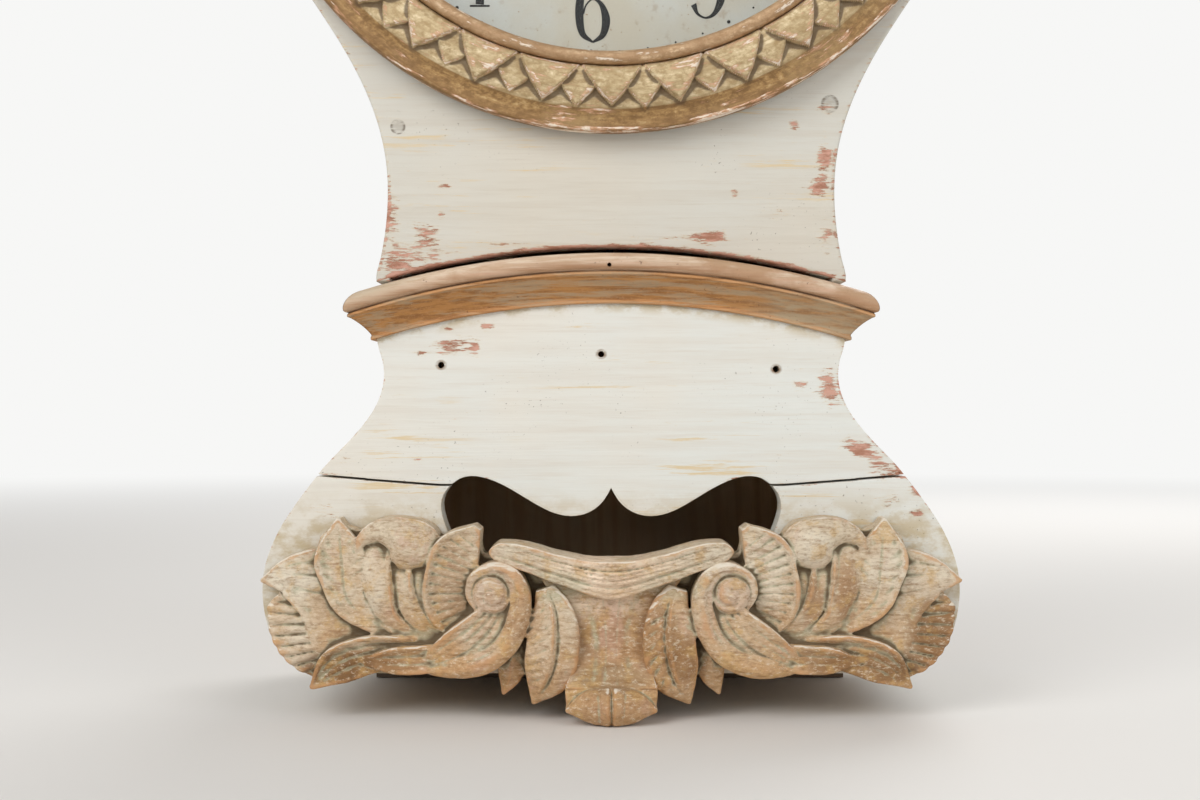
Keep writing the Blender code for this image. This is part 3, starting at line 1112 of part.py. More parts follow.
def build_escapement():
    at = ANCHOR_AT
    origin = (at[0], PENDULUM_Y, at[1])
    anchor_axis = axis_empty("anchor_axis", origin)
    plate_back = BACK_PLATE_Y + PLATE
    right = scaled(ANCHOR_OUTLINE)
    bm = bmesh.new()
    prism(bm, moved(right + mirrored(right)[1:-1], at), *depth(ANCHOR_PLACE))
    anchor = piece("pallet_anchor", bm, STEEL, origin, anchor_axis)
    cock_y = (plate_back + COCK_PLACE[0], plate_back + COCK_PLACE[1])
    arbor(anchor, at, FRONT_PLATE_Y - ARBOR_END, cock_y[1] + ARBOR_END)
    crutch_y = (plate_back + CRUTCH_PLACE[0], plate_back + CRUTCH_PLACE[1])
    low = at[1] - CRUTCH_LENGTH
    bm = bmesh.new()
    block(bm, (-CRUTCH_HALF, CRUTCH_HALF), crutch_y, (low, at[1] + CRUTCH_HALF))
    shape_with(anchor, bm, "UNION")
    inside = PENDULUM_ROD + RUN
    outside = inside + CRUTCH_HALF
    fork_end = PENDULUM_Y + FORK_REACH
    tine = [(outside, crutch_y[1] - SINK), (outside, fork_end), (inside, fork_end),
            (inside, PENDULUM_Y - outside)]
    bm = bmesh.new()
    prism(bm, tine + mirrored(tine), low - SINK, low + FORK_HEIGHT, axis="Z")
    shape_with(anchor, bm, "UNION")

    bm = bmesh.new()
    block(bm, (-COCK_HALF, COCK_HALF), cock_y, (at[1] - COCK_DROP, at[1] + COCK_RISE))
    cock = piece("back_cock", bm, BRASS)
    for side in (-1, 1):
        bm = bmesh.new()
        x = sorted((side * (COCK_HALF - COCK_LEG), side * COCK_HALF))
        block(bm, x, (plate_back + GAP, cock_y[0] + SINK),
              (at[1] - COCK_DROP + SINK, at[1] + COCK_RISE - COCK_LEG))
        shape_with(cock, bm, "UNION")
    bm = bmesh.new()
    block(bm, (-COCK_LEG, COCK_LEG), (cock_y[1] - SINK, PENDULUM_Y + CHOP_HALF + SINK),
          (at[1] + COCK_RISE - COCK_LEG, at[1] + COCK_RISE - SINK))
    shape_with(cock, bm, "UNION")
    bm = bmesh.new()
    rod(bm, (at[0], cock_y[0] - PLATE, at[1]), (at[0], cock_y[1] + PLATE, at[1]), ARBOR + BORE_RUN, 12)
    shape_with(cock, bm, "DIFFERENCE")

    chop_low = at[1] + SINK
    bm = bmesh.new()
    block(bm, (-CHOP_HALF, CHOP_HALF), (PENDULUM_Y - CHOP_HALF, PENDULUM_Y + CHOP_HALF),
          (chop_low, at[1] + COCK_RISE - COCK_LEG + SINK))
    shape_with(cock, bm, "UNION")

    pendulum = axis_empty("pendulum_axis", origin)
    spring_low = at[1] - SUSPENSION_LENGTH
    sheet, width = SUSPENSION_SHEET / 2, SUSPENSION_WIDTH / 2
    bm = bmesh.new()
    block(bm, (-sheet, sheet), (PENDULUM_Y - width, PENDULUM_Y + width), (spring_low, chop_low - GAP))
    piece("suspension_spring", bm, STEEL, origin, pendulum)

    bob_z = at[1] - PENDULUM_LENGTH
    nut_top = bob_z - BOB_RADIUS - GAP
    nut_low = nut_top - RATING_NUT
    bm = bmesh.new()
    rod(bm, (0, PENDULUM_Y, nut_low - ROD_END), (0, PENDULUM_Y, spring_low - GAP), PENDULUM_ROD, 12)
    piece("pendulum_rod", bm, STEEL, origin, pendulum, smooth=True)
    bm = bmesh.new()
    edge = BOB_HALF_THICKNESS * 0.3
    lens = [(0, PENDULUM_Y - BOB_HALF_THICKNESS),
            (BOB_RADIUS * 0.55, PENDULUM_Y - BOB_HALF_THICKNESS * 0.8),
            (BOB_RADIUS * 0.9, PENDULUM_Y - edge * 1.3), (BOB_RADIUS, PENDULUM_Y - edge * 0.4)]
    lens += [(r, 2 * PENDULUM_Y - y) for r, y in reversed(lens)]
    turned(bm, lens, (0, bob_z), 28)
    bob = piece("pendulum_bob", bm, BRASS, origin, pendulum, smooth=True)
    bm = bmesh.new()
    rod(bm, (0, PENDULUM_Y, bob_z - BOB_RADIUS * 2), (0, PENDULUM_Y, bob_z + BOB_RADIUS * 2),
        PENDULUM_ROD + RUN, 12)
    shape_with(bob, bm, "DIFFERENCE")
    rating = axis_empty("rating_axis", (0, PENDULUM_Y, nut_top))
    bm = bmesh.new()
    rod(bm, (0, PENDULUM_Y, nut_low), (0, PENDULUM_Y, nut_top), RATING_NUT, 12)
    turn_nut = piece("rating_nut", bm, BRASS, (0, PENDULUM_Y, nut_top), rating, smooth=True)
    bm = bmesh.new()
    rod(bm, (0, PENDULUM_Y, nut_low - RATING_NUT), (0, PENDULUM_Y, nut_top + RATING_NUT),
        PENDULUM_ROD + RUN, 12)
    shape_with(turn_nut, bm, "DIFFERENCE")


build_base()
build_moulding()
build_carving()
build_bezel(build_hood())
build_frame()
build_dial()
build_barrel()
build_winding()
build_motion_work(*build_train())
build_escapement()
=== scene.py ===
import math

import bmesh
import bpy
import numpy as np
from mathutils import Matrix, Vector, noise


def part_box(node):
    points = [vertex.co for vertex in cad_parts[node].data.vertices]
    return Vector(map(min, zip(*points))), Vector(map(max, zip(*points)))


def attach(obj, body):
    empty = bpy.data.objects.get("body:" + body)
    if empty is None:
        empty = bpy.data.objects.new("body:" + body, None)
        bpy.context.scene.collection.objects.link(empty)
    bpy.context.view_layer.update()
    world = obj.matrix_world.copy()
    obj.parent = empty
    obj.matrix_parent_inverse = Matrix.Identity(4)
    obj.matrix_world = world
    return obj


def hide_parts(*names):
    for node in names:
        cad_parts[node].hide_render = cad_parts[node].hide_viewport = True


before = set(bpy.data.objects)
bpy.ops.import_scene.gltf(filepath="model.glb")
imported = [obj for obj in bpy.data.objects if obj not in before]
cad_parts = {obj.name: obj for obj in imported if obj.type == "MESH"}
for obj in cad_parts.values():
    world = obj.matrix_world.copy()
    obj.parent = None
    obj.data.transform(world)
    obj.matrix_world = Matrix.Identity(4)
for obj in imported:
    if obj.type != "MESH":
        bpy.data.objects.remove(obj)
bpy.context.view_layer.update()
scene = bpy.context.scene
mm = 0.001
weld = 0.01 * mm  # points closer than this are merged
headHeight = 0.497  # centre of the dial, the bezel and the round head


# camera, lamps and floor first
studio = {
    "lens": 54.0,
    "eye": (-0.0058, -1.002, 0.164),
    "target": Vector((0.0, 0.0, 0.25)),
    "lamps": [  # name, place, size, watts
        ("keyLamp", (-1.3, -1.7, 1.3), 1.7, 33.0),
        ("fillLamp", (1.6, -1.6, 0.8), 1.7, 15.0),
        ("rearLamp", (0.9, 1.9, 1.5), 1.6, 26.0),
    ],
    "ambient": 0.40,
    "background": (0.93, 0.93, 0.92, 1.0),
    "floorSize": 9.0,
    "floorLevel": -0.0005,
    "floorTone": (0.78, 0.76, 0.73, 1.0),
    "floorFade": (0.9, 3.2),
}

camera = bpy.data.objects.new("photoCamera", bpy.data.cameras.new("photoCamera"))
camera.data.lens = studio["lens"]
camera.location = studio["eye"]
camera.rotation_euler = (math.radians(90), 0.0, 0.0)
scene.collection.objects.link(camera)
scene.camera = camera
scene.view_settings.view_transform = "Standard"

for lampName, place, size, watts in studio["lamps"]:
    lamp = bpy.data.lights.new(lampName, "AREA")
    lamp.shape = "DISK"
    lamp.size = size
    lamp.energy = watts
    holder = bpy.data.objects.new(lampName, lamp)
    holder.location = place
    holder.rotation_euler = (studio["target"] - Vector(place)).to_track_quat("-Z", "Y").to_euler()
    scene.collection.objects.link(holder)


# node helpers work on the tree in hand; a value is either a socket to link or a constant
bench = {}


def join(socket, value):
    if isinstance(value, bpy.types.NodeSocket):
        bench["tree"].links.new(value, socket)
    else:
        socket.default_value = value


def add(kind, sockets=None, **settings):
    node = bench["tree"].nodes.new("ShaderNode" + kind)
    for key, value in settings.items():
        setattr(node, key, value)
    for key, value in (sockets or {}).items():
        join(node.inputs[key], value)
    return node


def startFinish(name):
    material = bpy.data.materials.new(name)
    material.use_nodes = True
    bench["tree"] = material.node_tree
    bench["shader"] = material.node_tree.nodes["Principled BSDF"]
    return material


def shade(socket, value):
    join(bench["shader"].inputs[socket], value)


def here():
    return add("TexCoord").outputs["Object"]


def axis(letter):
    return add("SeparateXYZ", {0: here()}).outputs[letter]


def grainAt(spot, detail, rough):
    return add("TexNoise", {"Vector": spot, "Scale": 1.0, "Detail": detail, "Roughness": rough}).outputs["Fac"]


def cloud(scale, detail=4.0, rough=0.55, shift=(0.0, 0.0, 0.0), turn=(0.0, 0.0, 0.0)):
    scale = scale if isinstance(scale, tuple) else (scale,) * 3
    spot = add("Mapping", {"Vector": here(), "Scale": scale, "Location": shift, "Rotation": turn})
    return grainAt(spot.outputs[0], detail, rough)


def calc(operation, first, second=0.0):
    return add("Math", {0: first, 1: second}, operation=operation).outputs[0]


def plus(first, second):
    return calc("ADD", first, second)


def minus(first, second):
    return calc("SUBTRACT", first, second)


def times(first, second):
    return calc("MULTIPLY", first, second)


def lengthOf(vector):
    return add("VectorMath", {0: vector}, operation="LENGTH").outputs["Value"]


def fade(value, low, high, start=0.0, end=1.0):
    limits = {"Value": value, "From Min": low, "From Max": high, "To Min": start, "To Max": end}
    return add("MapRange", limits, interpolation_type="SMOOTHSTEP").outputs[0]


def mixTones(share, first, second):
    return add("Mix", {0: share, 6: first, 7: second}, data_type="RGBA").outputs[2]


# a second tone over the first where the value lies between low and high
def coat(first, second, value, low, high, share=1.0):
    return mixTones(fade(value, low, high, 0.0, share), first, second)


def marked(name):
    return add("Attribute", attribute_name=name).outputs["Fac"]


def relief(height, strength, distance):
    bump = add("Bump", {"Height": height, "Strength": strength, "Distance": distance})
    shade("Normal", bump.outputs[0])


def tone(red, green, blue):
    linear = [c / 255 / 12.92 if c < 11 else ((c / 255 + 0.055) / 1.055) ** 2.4 for c in (red, green, blue)]
    return (*linear, 1.0)


def palette(**tones):
    return {name: tone(*values) for name, values in tones.items()}


# 1 for the camera, for reflections and through glass
def seenRay():
    path = add("LightPath").outputs
    seen = calc("MAXIMUM", path["Is Camera Ray"], path["Is Glossy Ray"])
    return calc("MAXIMUM", seen, path["Is Transmission Ray"])


def toMesh(name, bm):
    mesh = bpy.data.meshes.new(name)
    bm.to_mesh(mesh)
    bm.free()
    return mesh


world = bpy.data.worlds.new("paleRoom")
scene.world = world
world.use_nodes = True
bench["tree"] = world.node_tree
bench["tree"].nodes.clear()
roomLight = add("Background", {"Color": (1.0, 1.0, 1.0, 1.0), "Strength": studio["ambient"]})
roomSeen = add("Background", {"Color": studio["background"], "Strength": 1.0})
roomMix = add("MixShader", {0: seenRay(), 1: roomLight.outputs[0], 2: roomSeen.outputs[0]})
add("OutputWorld", {"Surface": roomMix.outputs[0]})

bm = bmesh.new()
bmesh.ops.create_circle(bm, cap_ends=True, segments=96, radius=studio["floorSize"])
floor = bpy.data.objects.new("floor", toMesh("floor", bm))
floor.location.z = studio["floorLevel"]
scene.collection.objects.link(floor)
floor.data.materials.append(startFinish("paleFloor"))
shade("Base Color", studio["floorTone"])
shade("Roughness", 0.8)
# further out the floor is as pale as the background, for the camera only
floorFar = fade(lengthOf(here()), *studio["floorFade"])
floorGlow = add("Emission", {"Color": studio["background"], "Strength": 1.0})
floorMix = add("MixShader", {0: times(floorFar, seenRay()), 1: bench["shader"].outputs[0], 2: floorGlow.outputs[0]})
join(bench["tree"].nodes["Material Output"].inputs["Surface"], floorMix.outputs[0])
print("studio ready")


# cream paint over a pink undercoat; spots are (x, z, reach x, reach z, amount) in millimetres
paint = {
    "base": palette(cream=(221, 216, 205), aged=(208, 200, 187), cool=(218, 219, 213)),
    # the hood's tones are the base tones made darker: painted shade on the upper board
    "hood": palette(cream=(207, 201, 188), aged=(195, 186, 171), cool=(204, 202, 193)),
    **palette(ochre=(212, 186, 136), wash=(190, 174, 142), undercoat=(202, 156, 138), bareWood=(162, 114, 92),
              soil=(96, 82, 66), halo=(126, 102, 72)),
    "edgeWear": 0.118, "thin": (0.62, 0.71), "chip": (0.705, 0.72),  # what wear and flakes add up to
    "washFade": (0.122, 0.092),  # heights between which the wash begins
    "spots": [
        (-98, 241, 24, 14, 0.2), (-113, 234, 12, 13, 0.25), (-60, 246, 34, 4, 0.16), (30, 249, 60, 4, 0.13),
        (52, 250, 16, 8, 0.26), (-82, 192, 22, 9, 0.23), (113, 174, 10, 12, 0.2), (134, 136, 13, 8, 0.26),
        (109, 275, 12, 9, 0.29), (96, 308, 6, 5, 0.29), (-115, 260, 8, 26, 0.22), (-140, 130, 14, 9, 0.12),
        (-96, 252, 14, 9, 0.21), (62, 214, 50, 6, 0.08), (146, 112, 14, 10, 0.14), (-150, 106, 14, 10, 0.14),
        (112, 316, 9, 6, 0.24), (88, 262, 16, 6, 0.12), (65, 272, 6, 4, 0.27), (-87, 276, 7, 3, 0.26),
        (-89, 261, 5, 4, 0.25), (112, 292, 8, 13, 0.26), (113, 250, 8, 16, 0.16), (-65, 202, 6, 4, 0.27),
        (-85, 201, 5, 3, 0.26), (-100, 188, 7, 4, 0.24), (-71, 191, 4, 5, 0.26), (160, 105, 7, 4, 0.26),
        (127, 140, 12, 7, 0.22), (141, 129, 10, 8, 0.24), (151, 127, 11, 6, 0.25), (115, 166, 11, 13, 0.21),
        (99, 171, 10, 5, 0.21), (161, 117, 8, 5, 0.23), (169, 109, 6, 4, 0.23), (111, 284, 10, 16, 0.12),
        (-101, 133, 7, 4, 0.2),
    ],
    "plugs": [(-111.6, 307, 3.6), (114.5, 319, 4.2)],  # old plugs showing through: x, z, radius
    # worn foot of the hood: centre z, radius, reach, amount
    "arcs": [(-175.7, 420.0, 2.0, 0.14), (-175.7, 420.0, 7.0, 0.05)],
    "grime": (-199.6, 414.0, 7.0),  # brown along the foot of the moulding
    "holes": [(-89, 182.3, 1.7), (-5.2, 188, 1.6), (86.3, 180.2, 1.7)],  # nail holes: x, z, radius
    "halos": (3.6, 3.2),  # reach of the brown round a nail hole
}


def nearTo(place, x, z, reachX, reachZ):
    scale, shift = (1000 / reachX, 0.0, 1000 / reachZ), (-x / reachX, 0.0, -z / reachZ)
    return lengthOf(add("VectorMath", {0: place, 1: scale, 2: shift}, operation="MULTIPLY_ADD").outputs[0])


def creamPaint(name, tones, stretch, spots=()):
    material = startFinish(name)
    long, fine = stretch
    broad = cloud((7, 7, 9), 3, shift=(3, 1, 2))
    grain = cloud(fine, 7, 0.66)
    strokes = cloud(long, 6, 0.66, shift=(5, 2, 1))
    colour = coat(tones["cream"], tones["cool"], broad, 0.35, 0.65)
    colour = coat(colour, tones["aged"], strokes, 0.4, 0.7, 0.4)
    colour = coat(colour, tones["aged"], grain, 0.5, 0.7, 0.42)
    streak = times(fade(cloud(long, 6, 0.7, shift=(1, 7, 4)), 0.59, 0.65),
                   fade(cloud((11, 11, 15), 2, shift=(8, 0, 3)), 0.44, 0.6, 0.0, 0.75))
    colour = mixTones(streak, colour, paint["ochre"])
    # places where the paint has come away
    wear = times(marked("wear"), paint["edgeWear"])
    place = here()
    for x, z, reachX, reachZ, amount in spots:
        wear = plus(wear, fade(nearTo(place, x, z, reachX, reachZ), 1.0, 0.0, 0.0, amount))
    if spots:
        for middle, radius, reach, amount in paint["arcs"]:
            away = nearTo(place, 0.0, middle, radius, radius)
            rubbed = fade(away, 1 + reach / radius, 1.0, 0.0, amount)
            wear = plus(wear, times(rubbed, fade(away, 0.9999, 1.0)))
    flake = cloud((110, 110, 680) if spots else (120, 380, 120), 8, 0.75, shift=(2, 9, 5))
    level = plus(flake, wear)
    chipped = fade(level, *paint["chip"])
    under = coat(paint["undercoat"], paint["bareWood"], cloud((60, 60, 260), 5, 0.7), 0.42, 0.62)
    colour = coat(colour, paint["ochre"], level, *paint["thin"], 0.3)
    if spots:  # ochre wash round the carving, brown by the moulding, the nail holes and the plugs
        blotch = cloud((60, 60, 90), 6, 0.68)
        stain = times(fade(axis("Z"), *paint["washFade"]), fade(blotch, 0.4, 0.62, 0.08, 0.9))
        colour = mixTones(stain, colour, paint["wash"])
        middle, radius, reach = paint["grime"]
        moulded = nearTo(place, 0.0, middle, radius, radius)
        grime = times(fade(moulded, 1 - reach / radius, 1.0), fade(blotch, 0.42, 0.6, 0.0, 0.9))
        grime = times(grime, fade(moulded, 1.004, 1.0))
        colour = mixTones(grime, colour, paint["wash"])
        for x, z, _ in paint["holes"]:
            ring = fade(nearTo(place, x, z, *paint["halos"]), 1.0, 0.55, 0.0, 0.85)
            colour = mixTones(times(ring, fade(flake, 0.38, 0.56, 0.35, 1.0)), colour, paint["halo"])
        for x, z, radius in paint["plugs"]:
            away = nearTo(place, x, z, radius, radius)
            line = times(fade(away, 1.2, 1.0), fade(away, 0.6, 0.95, 0.35, 1.0))
            colour = mixTones(times(line, fade(flake, 0.4, 0.56, 0.1, 0.8)), colour, paint["soil"])
    colour = mixTones(chipped, colour, under)
    specks = times(fade(cloud(620, 2), 0.68, 0.74), fade(cloud(16, 3, shift=(0, 4, 8)), 0.48, 0.66, 0.0, 0.7))
    shade("Base Color", mixTones(specks, colour, paint["soil"]))
    shade("Roughness", fade(plus(grain, times(chipped, 0.3)), 0.3, 0.9, 0.5, 0.78))
    shade("Specular IOR Level", 0.35)
    height = plus(times(grain, 0.5), times(strokes, 0.4))
    relief(minus(height, times(chipped, 0.45)), 0.6, 0.0005)
    return material


levelBrush, uprightBrush = ((10, 60, 200), (22, 90, 620)), ((10, 160, 10), (22, 520, 22))  # long and fine marks
frontPaint = creamPaint("creamPaintFront", paint["base"], levelBrush, paint["spots"])
# the hood gets a darker copy of the front paint, a painted shade
hoodPaintShaded = creamPaint("creamPaintHoodShaded", paint["hood"], levelBrush, paint["spots"])
sidePaint = creamPaint("creamPaintSide", paint["base"], uprightBrush)

# worn gold leaf on gesso and bole; zone runs from the bead (0) to the rim (1), edge marks the leaves' cut sides
gilt = {
    "leaf": palette(gold=(204, 184, 146), dull=(160, 134, 92), bright=(232, 216, 182)),
    "band": palette(gold=(172, 136, 86), dull=(118, 86, 48), bright=(204, 176, 128)),
    "bead": palette(gold=(186, 154, 118), dull=(156, 122, 86), bright=(216, 192, 160)),
    **palette(bole=(202, 152, 118), gesso=(230, 218, 200), soil=(80, 58, 34)),
}


def aroundAxis(across, along):
    place = add("VectorMath", {0: here(), 1: (0.0, 0.0, -headHeight)}, operation="ADD").outputs[0]
    parts = add("SeparateXYZ", {0: place}).outputs
    turn = times(calc("ARCTAN2", parts["X"], times(parts["Z"], -1.0)), along)
    radius = lengthOf(add("VectorMath", {0: place, 1: (1.0, 0.0, 1.0)}, operation="MULTIPLY").outputs[0])
    spot = add("CombineXYZ", {0: times(radius, across), 1: times(parts["Y"], across), 2: turn})
    return grainAt(spot.outputs[0], 6.0, 0.68)


def goldSkin(tones, crackle, streaks, share):
    colour = coat(tones["gold"], tones["dull"], crackle, 0.42, 0.62, 0.8)
    colour = coat(colour, tones["dull"], streaks, 0.44, 0.64, share)
    return coat(colour, tones["bright"], plus(crackle, streaks), 0.92, 0.72, 0.8)


def wornGilding(name, tones, outerTones, boleShare, gessoShare):
    material = startFinish(name)
    hollow, zone = marked("hollow"), marked("zone")
    broad = cloud(30, 4, shift=(2, 2, 7))
    grit = cloud(1000, 3, 0.7)
    crackle = cloud((210, 210, 330), 6, 0.74, shift=(6, 3, 1))
    streaks = aroundAxis(330.0, 9.0)
    colour = goldSkin(tones, crackle, streaks, 0.7)
    outer = fade(zone, 0.64, 0.66)
    outside = goldSkin(outerTones, crackle, streaks, 0.8)
    outside = coat(outside, outerTones["dull"], zone, 0.74, 1.0, 0.75)
    colour = mixTones(outer, colour, outside)
    colour = coat(colour, tones["dull"], broad, 0.5, 0.68, 0.45)
    rubbed = plus(times(fade(hollow, -0.1, -0.7), 0.12), streaks)
    rubbed = plus(rubbed, times(marked("edge"), 0.15))
    rubbed = plus(rubbed, times(outer, fade(broad, 0.45, 0.7, 0.0, 0.12)))
    boleMark = fade(rubbed, 0.64 - boleShare, 0.72 - boleShare, 0.0, 0.8)
    chalk = plus(rubbed, times(crackle, 0.35))
    gessoMark = fade(chalk, 0.86 - gessoShare, 0.92 - gessoShare, 0.0, 0.9)
    # dirt and painted shade darken the hollows between the leaves
    sunk = fade(hollow, 0.2, 0.85, 0.0, 0.75)
    colour = mixTones(boleMark, colour, gilt["bole"])
    colour = mixTones(gessoMark, colour, gilt["gesso"])
    shade("Base Color", mixTones(sunk, colour, gilt["soil"]))
    left = minus(1.0, calc("MAXIMUM", calc("MAXIMUM", boleMark, gessoMark), sunk))
    shade("Metallic", times(left, 0.28))
    shade("Roughness", fade(grit, 0.3, 0.7, 0.42, 0.66))
    height = plus(times(grit, 0.35), times(crackle, 0.8))
    relief(minus(height, times(boleMark, 0.2)), 0.6, 0.0008)
    return material


leafGilding = wornGilding("leafGilding", gilt["leaf"], gilt["band"], 0.02, 0.0)
beadGilding = wornGilding("beadGilding", gilt["bead"], gilt["bead"], 0.02, 0.07)

# the moulding is rubbed to gesso on its bead and keeps its gold in the cove; band is the height from its foot
mouldGilt = palette(
    gesso=(206, 178, 150), pale=(226, 206, 182), pink=(204, 164, 138), orange=(192, 142, 96), brown=(176, 138, 102),
    shade=(160, 120, 86), cove=(184, 132, 76), coveDark=(136, 92, 52), grey=(178, 160, 132), groove=(92, 64, 40))


def mouldingGilding(name, stretch):
    material = startFinish(name)
    band = marked("band")
    lengthwise = cloud(stretch, 7, 0.7)
    second = cloud(tuple(c * 0.6 for c in stretch), 7, 0.7, shift=(4, 9, 2))
    patch = cloud((30, 60, 60), 5, 0.62)
    grit = cloud(700, 3, 0.7)
    cove = coat(mouldGilt["cove"], mouldGilt["coveDark"], lengthwise, 0.42, 0.6, 0.75)
    cove = coat(cove, mouldGilt["grey"], plus(second, times(patch, 0.4)), 0.68, 0.8, 0.62)
    cove = coat(cove, mouldGilt["orange"], grit, 0.52, 0.68, 0.5)
    across = axis("X")
    rubbedEnd = times(fade(across, 0.05, 0.1, 0.0, 0.7), fade(second, 0.36, 0.56, 0.3, 1.0))
    cove = mixTones(rubbedEnd, cove, mouldGilt["grey"])
    bead = coat(mouldGilt["pale"], mouldGilt["gesso"], lengthwise, 0.42, 0.6)
    bead = coat(bead, mouldGilt["pink"], second, 0.5, 0.62, 0.7)
    handled = plus(patch, fade(across, -0.05, 0.07, -0.1, 0.12))  # browner to the right, greyer at the left
    bead = coat(bead, mouldGilt["brown"], handled, 0.46, 0.64, 0.8)
    bead = coat(bead, mouldGilt["grey"], across, -0.085, -0.12, 0.55)
    # painted shade on the lower side of the bead, where it turns down
    below = times(fade(band, 0.94, 0.72), fade(second, 0.62, 0.4, 0.45, 0.95))
    bead = mixTones(below, bead, mouldGilt["shade"])
    colour = coat(cove, bead, band, 0.63, 0.65)
    lip = plus(fade(band, 0.1, 0.085), times(fade(band, 0.55, 0.565), fade(band, 0.62, 0.61)))
    lip = times(lip, fade(lengthwise, 0.6, 0.42, 0.1, 0.65))
    colour = mixTones(lip, colour, mouldGilt["orange"])
    groove = times(fade(band, 0.612, 0.622), fade(band, 0.652, 0.64))
    colour = mixTones(times(groove, fade(second, 0.64, 0.44, 0.35, 0.95)), colour, mouldGilt["groove"])
    shade("Base Color", coat(colour, mouldGilt["groove"], cloud(420, 2), 0.7, 0.75, 0.6))
    shade("Metallic", fade(band, 0.65, 0.6, 0.02, 0.28))
    shade("Roughness", fade(lengthwise, 0.3, 0.7, 0.42, 0.66))
    relief(plus(lengthwise, times(grit, 0.3)), 0.55, 0.0006)
    return material


frontMouldGilding = mouldingGilding("mouldingGildingFront", (26, 420, 420))
sideMouldGilding = mouldingGilding("mouldingGildingSide", (420, 26, 420))

# carved wood: greyer above, browner below, grey-green left in the hollows, edges rubbed, hollows darkened with dirt
# and painted shade, rims facing up given a painted highlight
carved = {
    **palette(upper=(212, 196, 171), lower=(198, 160, 118), dark=(142, 104, 66), ochre=(206, 168, 108),
              pale=(228, 214, 190), green=(178, 176, 148), pink=(202, 164, 142), rubbed=(200, 150, 102),
              chalk=(236, 228, 212), soil=(88, 68, 46), deep=(168, 130, 94), light=(226, 216, 196),
              cream=(248, 226, 202), rose=(208, 186, 170), umber=(100, 70, 42), ash=(138, 124, 100)),
    # hues of single leaves: tone, side (0 both, 1 right, -1 left), x, z, reach x, reach z, share
    "hues": [
        # the first two entries darken the lowest leaf, which faces down: brown of the wood and painted shade
        ("dark", 0, 130, 25, 32, 13, 0.9), ("umber", 0, 140, 26, 30, 10, 0.6), ("dark", 0, 110, 33, 18, 9, 0.6),
        ("light", 0, 166, 72, 19, 13, 0.75), ("light", -1, 163, 74, 20, 14, 0.6), ("dark", 1, 172, 44, 22, 26, 0.9),
        ("light", -1, 168, 42, 18, 22, 0.5), ("light", 1, 142, 72, 14, 24, 0.7), ("light", 1, 100, 88, 17, 12, 0.8),
        ("deep", 1, 103, 62, 7, 16, 0.8), ("deep", 1, 120, 66, 8, 20, 0.9), ("light", -1, 122, 72, 8, 21, 0.8),
        ("light", 1, 79, 72, 13, 26, 0.85), ("deep", -1, 83, 70, 13, 27, 0.5), ("light", -1, 67, 44, 14, 14, 0.5),
        ("light", 0, 40, 84, 30, 9, 0.45), ("rose", 0, 60, 66, 15, 15, 0.65), ("deep", -1, 46, 56, 10, 18, 0.7),
        ("dark", 1, 24, 42, 13, 22, 0.9), ("dark", 1, 38, 32, 12, 14, 0.9), ("light", -1, 38, 32, 12, 14, 0.4),
        # the last entry here lightens the top of the stem in the cornice's shadow: painted light
        ("cream", 0, 0, 76, 44, 11, 1.0), ("deep", 0, 0, 42, 22, 20, 0.8), ("cream", 0, 0, 60, 20, 7, 0.9),
        # the second entry darkens the foot of the stem just above the toe: painted shade
        ("pink", 0, 2, 46, 5, 18, 0.7), ("ash", 0, 0, 23, 24, 8, 0.75), ("deep", 0, 0, 8, 24, 12, 0.5),
        ("green", 0, 30, 70, 20, 10, 0.6),
    ],
}


